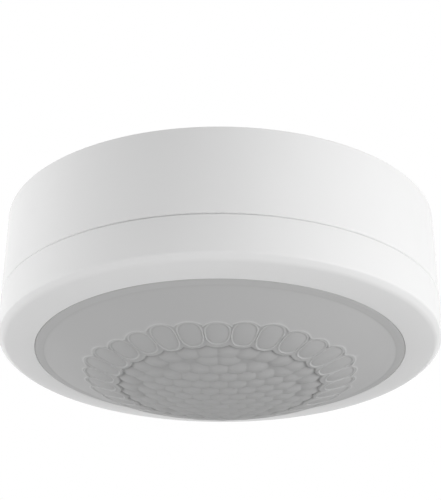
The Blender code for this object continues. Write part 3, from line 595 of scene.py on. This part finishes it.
def lens_zone(radii, sides):
    """Rings of points on the lens's outer face, and their tones, for the given radii.

    Each place starts on the ball and moves along the ball's radius by the depth of the facet there: the ring of
    ovals outside its scalloped inner edge, and the honeycomb inside it.
    """
    radius, turn = np.meshgrid(radii, turns_of(sides), indexing="ij")
    ring_depth, ring_tone, ring_inner = oval_ring(radius, turn - LENS_TURN)
    cell_depth, cell_tone = honeycomb(radius, turn - LENS_TURN)
    within = smoothstep((ring_inner - radius) / STEP_WALL)
    depth = ring_depth + within * (cell_depth - ring_depth)
    # Painted shade at the foot of the step and in the groove round the dome's edge, and painted light on the
    # lens's lip.
    step = STEP_PAINTED_SHADE * within * bell(radius - ring_inner + 2 * STEP_WALL, STEP_WALL)
    groove = LENS_GROOVE_PAINTED_SHADE * bell(radius - DOME_EDGE_RADIUS, LENS_GROOVE_SPREAD)
    lip = LENS_LIP_PAINTED_LIGHT * smoothstep((radius - DOME_EDGE_RADIUS) / LENS_LIP_STEP)
    tone = 1 + ring_tone + within * (cell_tone - ring_tone) + step + groove + lip
    points = around(radius, turn, dome_height(radius))
    points += (BALL_MIDDLE - points) * (depth / DOME_BALL_RADIUS)[..., None]
    return list(points), list(tone)


def lens_dome():
    """The lens: an outline of its inner face and flange, and zones of rings over its outer face.

    The zones have as many points round as their facets need: most in the ring of ovals, fewer towards the tip.
    """
    inner_radius = np.linspace(0, LENS_NECK_RADIUS - LENS_WALL, INNER_RINGS)
    inner_face = np.stack([inner_radius, dome_height(inner_radius) + LENS_WALL], axis=-1)
    flange_foot = SHELF + PLAY
    beside = LENS_NECK_RADIUS - 2
    flange = rounded([
        (LENS_NECK_RADIUS - LENS_WALL, LENS_FLANGE_TOP, 0.1), (LENS_FLANGE_RADIUS, LENS_FLANGE_TOP, 0.2),
        (LENS_FLANGE_RADIUS, flange_foot, 0.2), (LENS_NECK_RADIUS, flange_foot, 0.1),
        (LENS_NECK_RADIUS, RIM, 0.3), (beside, dome_height(beside), 0.1)])
    outline = np.concatenate([inner_face, flange[:5 * (FILLET_STEPS + 1)]])
    rings = [around(radius, turns_of(LENS_SIDES), height) for radius, height in outline]
    rings[0] = rings[0][:1]
    tones = [np.ones(len(ring)) for ring in rings]
    lip_start, lip_end = outline[-1, 0] - LIP_MARGINS[0], DOME_EDGE_RADIUS - LIP_MARGINS[1]
    ring_start, ring_end = RING_OUTER + OVAL_GROWTH + RING_WALL, RING_INNER - STEP_WALL
    edges = lip_start, lip_end, ring_start, ring_end, LENS_CORE_RADIUS, 0
    zones = [(np.linspace(start, end, count, endpoint=False), share * LENS_SIDES)
             for start, end, (count, share) in zip(edges[:-1], edges[1:], LENS_RINGS)]
    for radii, sides in [*zones, (np.zeros(1), 1)]:
        zone_rings, zone_tones = lens_zone(radii, sides)
        rings += zone_rings
        tones += zone_tones
    piece = add_piece("lens_dome", layered(rings), "cover", "lens_plastic", "lens")
    attribute = piece.data.attributes.new("tone", "FLOAT", "POINT")
    attribute.data.foreach_set("value", np.concatenate(tones))


# Small parts

def finish_node(node, surface):
    """Puts a finer surface in place of a node, on the same body and with the same finish."""
    add_piece(f"{node}_shape", surface, body_of[node], slot_of[node], node)


def measured(node):
    """A round node's middle across, its radius, and its lowest and highest heights, in millimetres."""
    low, high = corners_of(node)
    return (low + high)[:2] / 2, (high[0] - low[0]) / 2, low[2], high[2]


def cover_seal():
    """The rubber ring in the spigot's groove: a circle carried round the axis."""
    low, high = corners_of("cover_seal")
    thick = (high[2] - low[2]) / 2
    circle = on_circle(thick, -np.degrees(turns_of(SMALL_SIDES)))
    middle = np.array([high[0] - thick, (low[2] + high[2]) / 2])
    finish_node("cover_seal", turned(middle + circle, SHELL_SIDES))


def cable_grommet():
    """The rubber ring in the cable hole: a rounded outline with a lip and a funnel, turned about its axis."""
    at, rim, foot, top = measured("cable_grommet")
    lip = -PLATE - PLAY
    throat = GROMMET_EDGE - GROMMET_WALL
    outline = rounded([
        (CABLE_RADIUS, foot + GROMMET_WALL, 0.4), (throat, -GROMMET_WALL, 0.4), (throat, top, 0.3),
        (GROMMET_EDGE, top, 0.4), (GROMMET_EDGE, lip, 0.2), (rim, lip, 0.4), (rim, lip - GROMMET_WALL, 0.4),
        (throat, lip - GROMMET_WALL, 0.5), (CABLE_RADIUS, foot, 0.4)])
    finish_node("cable_grommet", turned(outline, 2 * SMALL_SIDES, at))


def slot_cutter(at, face, length, width, depth):
    """The straight slot of a screw or dial as a closed box to cut with, from below its face."""
    half = np.array([length / 2, width / 2])
    low, high = np.append(at - half, face - depth), np.append(at + half, face + depth)
    return moulded_box(low, high, width / 6, width / 8)


def screw(node, head, shank):
    """A pan-head screw with its head below, and a thread that winds up its shank.

    The shank's radius falls by half a cosine of the height over the pitch less the turn, so that its crests climb
    one pitch in each turn. Over the tip it shrinks evenly to half.
    """
    at, radius, low, high = measured(node)
    turns = turns_of(SCREW_SIDES)
    seat = low + head
    heights = np.arange(high, seat, -THREAD_PITCH / THREAD_STEPS)
    wave = 0.5 - 0.5 * np.cos(2 * np.pi * heights[:, None] / THREAD_PITCH - turns)
    taper = np.clip(0.5 + 0.5 * (high - heights) / SCREW_TIP, 0, 1)
    reach = shank * taper[:, None] * (1 - THREAD_DEPTH * wave)
    fillet = HEAD_FILLET * head
    pan = rounded([(0, seat, 0), (radius, seat, 0.1), (radius, seat - HEAD_WALL * head, fillet),
                   (HEAD_FLAT * radius, low, fillet), (0, low, 0)])[FILLET_STEPS + 1:-FILLET_STEPS - 1]
    reach = np.concatenate([reach, np.repeat(pan[:, :1], SCREW_SIDES, axis=1)])
    points = around(reach, turns, np.concatenate([heights, pan[:, 1]])[:, None], at)
    ends = np.array([(*at, high), (*at, low)])
    slot = slot_cutter(at, low, DRIVE_LENGTH * radius, DRIVE_WIDTH * radius, head / 2)
    return pierced(layered([ends[:1], *points, ends[1:]]), slot)


def screws():
    """All the screws. Those of the lens retainer stand on their heads: turned half round a level axis."""
    for word, count, head, shank in SCREWS:
        for number in range(1, count + 1):
            node = f"{word}_{number}"
            points, faces = screw(node, head, shank)
            if word == "retainer_screw":
                middle = sum(corners_of(node)) / 2
                points = middle + (points - middle) * (1, -1, -1)
            finish_node(node, (points, faces))


def detectors():
    """The heat detector's can and window, the status lamp, the light sensor and the remote control's receiver."""
    at, flange, low, high = measured("pyro_sensor")
    can = spun_solid([(flange, high, 0.15), (flange, high - CAN_FLANGE, 0.25),
                      (CAN_RADIUS, high - CAN_FLANGE, 0.3), (CAN_RADIUS, low, 0.45)], SMALL_SIDES, at)
    window = corners_of("pyro_window")
    seat_top = np.append((window[1] + PLAY)[:2], low + WINDOW_SEAT)
    seat = moulded_box(window[0] - PLAY - (0, 0, WINDOW_SEAT), seat_top, corner=0.2, edge=0.05)
    finish_node("pyro_sensor", pierced(can, seat))
    finish_node("pyro_window", moulded_box(*window, corner=0.15, edge=0.08))
    at, collar, low, high = measured("status_led")
    rise = np.linspace(0, np.pi / 2, 4 * FILLET_STEPS)
    dome = np.stack([LED_RADIUS * np.cos(rise), low + LED_DOME * (1 - np.sin(rise))], axis=-1)
    foot = rounded([(0, high, 0), (collar, high, 0.1), (collar, high - LED_COLLAR, 0.15),
                    (LED_RADIUS, high - LED_COLLAR, 0.1), (0, high - LED_COLLAR, 0)])
    outline = np.concatenate([foot[FILLET_STEPS:-FILLET_STEPS - 1], dome])
    finish_node("status_led", turned(outline, SMALL_SIDES, at, closed=False))
    finish_node("light_sensor", rounded_drum("light_sensor", 0.15, 0.4))
    finish_node("ir_receiver", moulded_box(*corners_of("ir_receiver"), corner=0.8, edge=0.5))


def adjusters():
    """The three trimmers with slotted dials, and the switch with its button."""
    for label in ("time", "lux", "range"):
        dial = f"{label}_dial"
        at, radius, low = measured(dial)[:3]
        slot = slot_cutter(at, low, DRIVE_LENGTH * radius, SLOT_WIDTH, SLOT_DEPTH)
        finish_node(dial, pierced(rounded_drum(dial, 0.15, 0.25), slot))
        sunk_box(f"{label}_trimmer", at, DIAL_SEAT_RADIUS, DIAL_SEAT)
    finish_node("teach_button", rounded_drum("teach_button", 0.15, 0.45))
    sunk_box("button_switch", measured("teach_button")[0], BUTTON_GUIDE_RADIUS, BUTTON_GUIDE)


def rounded_drum(node, top_fillet, foot_fillet):
    """A round node's own drum with its two edges rounded."""
    at, radius, low, high = measured(node)
    return spun_solid([(radius, high, top_fillet), (radius, low, foot_fillet)], SMALL_SIDES, at)


def sunk_box(node, at, radius, depth):
    """A moulded box with a round seat sunk into its lower face."""
    low, high = corners_of(node)
    seat = spun_solid([(radius, low[2] + depth, 0.1), (radius, low[2] - depth, 0.1)], SMALL_SIDES, at)
    finish_node(node, pierced(moulded_box(low, high, corner=0.5, edge=0.3), seat))


def power_parts():
    """Relay, capacitors, varistor, fuse and the plug between the boards: moulded boxes and turned cans."""
    low, high = corners_of("relay")
    sunk_box("relay", (low + high)[:2] / 2 + VENT_PLACE, VENT_RADIUS, VENT_RADIUS)
    for node in ("mains_capacitor", "header_socket", "pin_header"):
        finish_node(node, moulded_box(*corners_of(node), corner=0.7, edge=0.35))
    at, radius, low, high = measured("storage_capacitor")
    crimp = [(radius - inset, high - drop, 0.3) for inset, drop in zip((0, CRIMP_DEPTH, 0), CRIMP_PLACES)]
    can = spun_solid([(radius, high, 0.2), *crimp, (radius, low, 0.6)], SMALL_SIDES, at)
    finish_node("storage_capacitor", can)
    finish_node("fuse", rounded_drum("fuse", 0.2, 0.7))
    low, high = corners_of("varistor")
    middle, half = (low + high) / 2, (high - low) / 2
    points, faces = spun_solid([(half[1], half[0], 1.2), (half[1], -half[0], 1.2)], SMALL_SIDES)
    finish_node("varistor", (middle + points[:, [2, 1, 0]] * (1, 1, -1), faces))


# Finishes

def feed(tree, socket, source):
    """Links a socket to its source, or sets it where the source is a constant."""
    if isinstance(source, bpy.types.NodeSocket):
        tree.links.new(source, socket)
    else:
        socket.default_value = source


def add_node(tree, kind, inputs=None, **values):
    """Adds a shader node, sets its properties by name, and feeds its inputs."""
    node = tree.nodes.new("ShaderNode" + kind)
    for word, value in values.items():
        setattr(node, word, value)
    for socket, source in (inputs or {}).items():
        feed(tree, node.inputs[socket], source)
    return node


def calculated(tree, operation, *terms):
    """The result of a math node."""
    return add_node(tree, "Math", dict(enumerate(terms)), operation=operation).outputs[0]


def vector_result(tree, operation, *terms, result="Vector"):
    """The result of a vector math node."""
    return add_node(tree, "VectorMath", dict(enumerate(terms)), operation=operation).outputs[result]


def scaled(tree, vector, factor):
    """A vector or colour times a factor."""
    return add_node(tree, "VectorMath", {0: vector, "Scale": factor}, operation="SCALE").outputs["Vector"]


def mixed(tree, share, first, second):
    """A colour that goes from the first to the second as the share goes from 0 to 1."""
    return add_node(tree, "MixRGB", {"Fac": share, "Color1": first, "Color2": second}).outputs["Color"]


def own_place(tree):
    """A surface's own place, in metres."""
    return add_node(tree, "TexCoord").outputs["Object"]


def noise(tree, place, scale, detail):
    """A noise over a place."""
    return add_node(tree, "TexNoise", {"Vector": place, "Scale": scale, "Detail": detail}).outputs["Fac"]


def new_group(name, inputs, outputs):
    """An empty shader node group with named float inputs and outputs; a colour is marked by the word colour."""
    group = bpy.data.node_groups.new(name, "ShaderNodeTree")
    for word, direction in [(word, "INPUT") for word in inputs] + [(word, "OUTPUT") for word in outputs]:
        kind = "NodeSocketColor" if "colour" in word else "NodeSocketFloat"
        group.interface.new_socket(word, in_out=direction, socket_type=kind)
    return group, group.nodes.new("NodeGroupInput").outputs, group.nodes.new("NodeGroupOutput").inputs


def moulded_grain():
    """Fine spark-eroded grain of moulded plastic: two noises, one of pinpoint size and one of soft waves."""
    group, given, made = new_group("moulded_grain", ("scale", "roughness", "spread"), ("height", "roughness"))
    place = own_place(group)
    fine = noise(group, place, given["scale"], 3.0)
    soft = noise(group, place, calculated(group, "MULTIPLY", given["scale"], WAVE_SCALE), 4.0)
    swing = calculated(group, "SUBTRACT", calculated(group, "ADD", fine, soft), 1.0)
    feed(group, made["height"], fine)
    feed(group, made["roughness"], calculated(group, "MULTIPLY_ADD", swing, given["spread"], given["roughness"]))
    return group


def tone_drift():
    """Uneven tone: a colour times a soft noise that swings a little about one."""
    group, given, made = new_group("tone_drift", ("colour", "scale", "drift"), ("colour",))
    centred = calculated(group, "SUBTRACT", noise(group, own_place(group), given["scale"], 5.0), 0.5)
    swing = calculated(group, "MULTIPLY_ADD", centred, given["drift"], 1.0)
    feed(group, made["colour"], scaled(group, given["colour"], swing))
    return group


def drawn_metal():
    """Fine streaks of drawn and plated metal: a noise pulled out twenty times along X."""
    group, given, made = new_group("drawn_metal", ("scale", "roughness", "spread"), ("height", "roughness"))
    pulled = add_node(group, "Mapping", {"Vector": own_place(group), "Scale": STREAK_PULL})
    streak = noise(group, pulled.outputs["Vector"], given["scale"], 4.0)
    centred = calculated(group, "SUBTRACT", streak, 0.5)
    feed(group, made["height"], streak)
    feed(group, made["roughness"], calculated(group, "MULTIPLY_ADD", centred, given["spread"], given["roughness"]))
    return group


def spread_of_two():
    """Two colours that run into each other in soft patches: a mix of them by a noise with a steep middle."""
    group, given, made = new_group("spread_of_two", ("first colour", "second colour", "scale"), ("colour",))
    cloud = noise(group, own_place(group), given["scale"], 3.0)
    steep = add_node(group, "MapRange", {"Value": cloud, "From Min": 0.35, "From Max": 0.65})
    blend = mixed(group, steep.outputs["Result"], given["first colour"], given["second colour"])
    feed(group, made["colour"], blend)
    return group


def new_finish(name):
    """A new material with its node tree and the inputs of its Principled shader."""
    finish = bpy.data.materials.new(name)
    finish.use_nodes = True
    return finish, finish.node_tree, finish.node_tree.nodes["Principled BSDF"].inputs


def place_group(tree, name, **values):
    """Places a shared group in a material, with its own values, and gives its outputs."""
    node = add_node(tree, "Group", node_tree=groups[name])
    for word, value in values.items():
        feed(tree, node.inputs[word.replace("_", " ")], value)
    return node.outputs


def toned(tree, colour, scale, drift):
    """A colour with the shared uneven tone."""
    return place_group(tree, "tone_drift", colour=colour, scale=scale, drift=drift)["colour"]


def surfaced(tree, shader, roughness, height, depth):
    """Feeds a shader's roughness, and a bump of the given depth in millimetres."""
    bump = add_node(tree, "Bump", {"Height": height, "Distance": depth * MM})
    feed(tree, shader["Roughness"], roughness)
    feed(tree, shader["Normal"], bump.outputs["Normal"])


def grained(tree, shader, roughness, spread, scale, depth):
    """Gives a shader the moulded grain: uneven roughness, and a bump."""
    grain = place_group(tree, "moulded_grain", scale=scale, roughness=roughness, spread=spread)
    surfaced(tree, shader, grain["roughness"], grain["height"], depth)


def plain_finish(name, colour, roughness, drift=0.06, scale=4000.0, depth=0.02, spread=0.12):
    """A finish of one colour with uneven tone and grain, for plastic and rubber alike."""
    finish, tree, shader = new_finish(name)
    feed(tree, shader["Base Color"], toned(tree, (*colour, 1.0), 60.0, drift))
    grained(tree, shader, roughness, spread, scale, depth)
    return finish


def metal_finish(name, colour, second_colour, roughness):
    """Plated metal: two close tints in soft patches, and fine streaks in its gloss and surface."""
    finish, tree, shader = new_finish(name)
    shader["Metallic"].default_value = 1.0
    tint = place_group(tree, "spread_of_two", first_colour=(*colour, 1.0), second_colour=(*second_colour, 1.0),
                       scale=500.0)
    feed(tree, shader["Base Color"], tint["colour"])
    streaks = place_group(tree, "drawn_metal", scale=STREAK_SCALE, roughness=roughness, spread=0.3)
    surfaced(tree, shader, streaks["roughness"], streaks["height"], 0.01)
    return finish


def housing_finish():
    """Satin white plastic with little sheen, so that its outline stays darker than the background."""
    finish = plain_finish("housing_white", HOUSING_COLOUR, 0.2, drift=0.03, depth=0.004, spread=0.08)
    finish.node_tree.nodes["Principled BSDF"].inputs["Specular IOR Level"].default_value = HOUSING_SHEEN
    return finish


def clear_finish(name, colour, roughness, transmission, coat):
    """Clear or dark polished plastic: uneven tone, hardly any grain, and a share of light let through."""
    finish = plain_finish(name, colour, roughness, depth=0.002, spread=0.06, drift=0.15)
    shader = finish.node_tree.nodes["Principled BSDF"].inputs
    shader["Transmission Weight"].default_value = transmission
    shader["Coat Weight"].default_value = coat
    shader["Coat Roughness"].default_value = COAT_ROUGHNESS
    return finish


def lens_finish():
    """Milky plastic: it darkens where the facets leave it thinner, because the dark inside shows through.
    Its tone attribute also carries painted highlights and painted shade.
    """
    finish, tree, shader = new_finish("lens_plastic")
    shader["Specular IOR Level"].default_value = LENS_SHEEN
    tone = add_node(tree, "Attribute", attribute_name="tone").outputs["Fac"]
    feed(tree, shader["Base Color"], toned(tree, scaled(tree, LENS_COLOUR, tone), 45.0, 0.05))
    grained(tree, shader, 0.5, 0.1, 3000.0, 0.006)
    return finish


def split(tree, vector):
    """A vector's X, Y and Z."""
    return add_node(tree, "SeparateXYZ", {"Vector": vector}).outputs


def from_middle(tree, place, at):
    """A place as seen from a middle, and its level distance from there."""
    centred = vector_result(tree, "SUBTRACT", place, (*at, 0))
    level = vector_result(tree, "MULTIPLY", centred, (1, 1, 0))
    return centred, vector_result(tree, "LENGTH", level, result="Value")


def stripes(tree, along, pitch, width):
    """1 within half a width of each multiple of the pitch, and 0 elsewhere."""
    return calculated(tree, "LESS_THAN", calculated(tree, "PINGPONG", along, pitch / 2), width / 2)


def board_finish():
    """Circuit board: tracks under green lacquer that run along X or Y in fields, and tinned pads on a grid.

    A track shows where the distance to the nearest multiple of the track pitch is small. A pad shows round some of
    the places of a grid, picked by a noise that is constant over each of its squares, with a dark drilled middle.
    """
    finish, tree, shader = new_finish("circuit_board")
    place = scaled(tree, own_place(tree), 1 / MM)
    axes = split(tree, place)
    field = add_node(tree, "TexVoronoi", {"Vector": place, "Scale": 1 / FIELD_SIZE}, distance="CHEBYCHEV",
                     voronoi_dimensions="2D")
    pick = add_node(tree, "SeparateColor", {"Color": field.outputs["Color"]}).outputs
    way = calculated(tree, "GREATER_THAN", pick["Red"], FIELD_TURNED)
    run = add_node(tree, "Mix", {"Factor": way, "A": axes["X"], "B": axes["Y"]}).outputs["Result"]
    used = calculated(tree, "GREATER_THAN", pick["Green"], FIELD_USED)
    track = calculated(tree, "MULTIPLY", stripes(tree, run, TRACK_PITCH, TRACK_WIDTH), used)
    off = {axis: calculated(tree, "PINGPONG", axes[axis], PAD_PITCH / 2) for axis in "XY"}
    flat = add_node(tree, "CombineXYZ", off).outputs["Vector"]
    reach = vector_result(tree, "LENGTH", flat, result="Value")
    shifted = vector_result(tree, "ADD", place, (PAD_PITCH / 2, PAD_PITCH / 2, 0))
    square = vector_result(tree, "SNAP", shifted, (PAD_PITCH, PAD_PITCH, 100))
    chance = add_node(tree, "TexWhiteNoise", {"Vector": square}, noise_dimensions="3D").outputs["Value"]
    chosen = calculated(tree, "GREATER_THAN", chance, PAD_SHOWN)
    pad, hole = [calculated(tree, "MULTIPLY", calculated(tree, "LESS_THAN", reach, radius), chosen)
                 for radius in (PAD_RADIUS, DRILL_RADIUS)]
    tin = calculated(tree, "SUBTRACT", pad, hole)
    colour = toned(tree, LACQUER, 90.0, 0.3)
    for share, shown in ((track, TRACK), (tin, TIN), (hole, BORE)):
        colour = mixed(tree, share, colour, shown)
    feed(tree, shader["Base Color"], colour)
    feed(tree, shader["Metallic"], tin)
    grain = place_group(tree, "moulded_grain", scale=2500.0, roughness=0.35, spread=0.12)
    surfaced(tree, shader, grain["roughness"], calculated(tree, "MAXIMUM", track, pad), 0.05)
    return finish


def photocell_finish():
    """Light sensor: a cream ceramic disc with a winding track of dark lacquer, made of bands across its face."""
    finish, tree, shader = new_finish("photocell")
    place = scaled(tree, own_place(tree), 1 / MM)
    reach = from_middle(tree, place, measured("light_sensor")[0])[1]
    inside = calculated(tree, "LESS_THAN", reach, WINDING_RADIUS)
    bands = stripes(tree, split(tree, place)["Y"], WINDING_PITCH, WINDING_WIDTH)
    track = calculated(tree, "MULTIPLY", bands, inside)
    feed(tree, shader["Base Color"], mixed(tree, track, toned(tree, CERAMIC, 300.0, 0.2), WINDING))
    grained(tree, shader, 0.3, 0.1, 3000.0, 0.01)
    return finish


def capacitor_finish():
    """Storage capacitor: a dark shrunk sleeve with one pale band, open round the bare metal of its end."""
    finish, tree, shader = new_finish("capacitor_sleeve")
    at, radius = measured("storage_capacitor")[:2]
    centred, reach = from_middle(tree, scaled(tree, own_place(tree), 1 / MM), at)
    bare = calculated(tree, "LESS_THAN", reach, BARE_END * radius)
    band = calculated(tree, "GREATER_THAN", split(tree, centred)["X"], BAND_START * radius)
    banded = mixed(tree, band, toned(tree, SLEEVE, 120.0, 0.3), SLEEVE_BAND)
    feed(tree, shader["Base Color"], mixed(tree, bare, banded, BARE_METAL))
    feed(tree, shader["Metallic"], bare)
    grained(tree, shader, 0.32, 0.12, 2500.0, 0.01)
    return finish


groups = {group.name: group for group in (moulded_grain(), tone_drift(), drawn_metal(), spread_of_two())}
finishes = {"housing_white": housing_finish(), "lens_plastic": lens_finish(), "circuit_board": board_finish(),
            "photocell": photocell_finish(), "capacitor_sleeve": capacitor_finish()}
for make, table in (plain_finish, PLAIN_FINISHES), (metal_finish, METAL_FINISHES), (clear_finish, CLEAR_FINISHES):
    finishes |= {name: make(name, *values) for name, values in table.items()}


# Stage

def add_floor():
    """A plain pale floor a storey below, as one wide square."""
    corners = np.array([(-1, -1, 0), (1, -1, 0), (1, 1, 0), (-1, 1, 0)]) * FLOOR_HALF_SIZE
    floor = add_object("floor", (corners + (0, 0, FLOOR_HEIGHT), [(0, 1, 2, 3)]))
    floor.data.materials.append(floor_finish())


def seen_rays(tree):
    """1 for a ray that shows its surroundings, from the camera, a reflection or a clear piece, and 0 for light."""
    path = add_node(tree, "LightPath").outputs
    shown = calculated(tree, "MAXIMUM", path["Is Camera Ray"], path["Is Glossy Ray"])
    return calculated(tree, "MAXIMUM", shown, path["Is Transmission Ray"])


def floor_finish():
    """Pale floor paint, which is seen a little brighter than the soft light in the room would make it."""
    finish = plain_finish("pale_floor", FLOOR_COLOUR, 0.7, scale=300.0, depth=0.05)
    tree = finish.node_tree
    strength = calculated(tree, "MULTIPLY", seen_rays(tree), FLOOR_GLOW)
    glow = add_node(tree, "Emission", {"Color": WHITE, "Strength": strength})
    both = add_node(tree, "AddShader", {0: tree.nodes["Principled BSDF"].outputs[0], 1: glow.outputs[0]})
    feed(tree, tree.nodes["Material Output"].inputs["Surface"], both.outputs[0])
    return finish


def add_lamp(name, azimuth, elevation, watts):
    """A soft box aimed at the sensor, which lights it but shows neither to the camera nor in reflections."""
    lamp = bpy.data.lights.new(name, "AREA")
    lamp.shape = "RECTANGLE"
    lamp.size, lamp.size_y = LAMP_SIZE
    lamp.energy = watts
    box = bpy.data.objects.new(name, lamp)
    side, rise = math.radians(azimuth), math.radians(elevation)
    level = LAMP_DISTANCE * math.cos(rise)
    box.location = (level * math.sin(side), -level * math.cos(side), LAMP_DISTANCE * math.sin(rise))
    box.rotation_euler = (math.pi / 2 - rise, 0, side)
    box.visible_camera = False
    box.visible_glossy = False
    bpy.context.scene.collection.objects.link(box)


def add_world():
    """Soft light, a little stronger from the front, which the camera and reflections see as a white background."""
    world = bpy.data.worlds.new("studio")
    world.use_nodes = True
    bpy.context.scene.world = world
    tree = world.node_tree
    tree.nodes.clear()
    way = split(tree, add_node(tree, "TexCoord").outputs["Generated"])
    strength = calculated(tree, "MULTIPLY_ADD", way["Y"], WORLD_LEAN, WORLD_LIGHT)
    light = add_node(tree, "Background", {"Color": WHITE, "Strength": strength})
    white = add_node(tree, "Background", {"Color": WHITE, "Strength": 1.0})
    mix = add_node(tree, "MixShader", {0: seen_rays(tree), 1: light.outputs[0], 2: white.outputs[0]})
    add_node(tree, "OutputWorld", {"Surface": mix.outputs[0]})


def add_camera():
    """The camera at the photograph's angle, on the -Y side and below the sensor."""
    lens = bpy.data.cameras.new("camera")
    lens.lens = CAMERA_LENS
    lens.shift_x, lens.shift_y = CAMERA_SHIFT
    camera = bpy.data.objects.new("camera", lens)
    rise = math.radians(CAMERA_ELEVATION)
    camera.location = (0, -CAMERA_DISTANCE * math.cos(rise), CAMERA_TARGET + CAMERA_DISTANCE * math.sin(rise))
    level = Euler((math.pi / 2 - rise, 0, 0)).to_matrix()
    camera.rotation_euler = (level @ Matrix.Rotation(CAMERA_ROLL, 3, "Z")).to_euler()
    bpy.context.scene.collection.objects.link(camera)
    bpy.context.scene.camera = camera


base_shell()
cover_ring()
lens_dome()
cover_seal()
cable_grommet()
screws()
detectors()
adjusters()
power_parts()
for part in frame["record"]["subparts"]:
    frame["nodes"][part["node"]].material_slots[0].material = finishes[part["material_slot"]]
add_floor()
for lamp in LAMPS:
    add_lamp(*lamp)
add_world()
add_camera()
bpy.context.scene.view_settings.view_transform = "Standard"
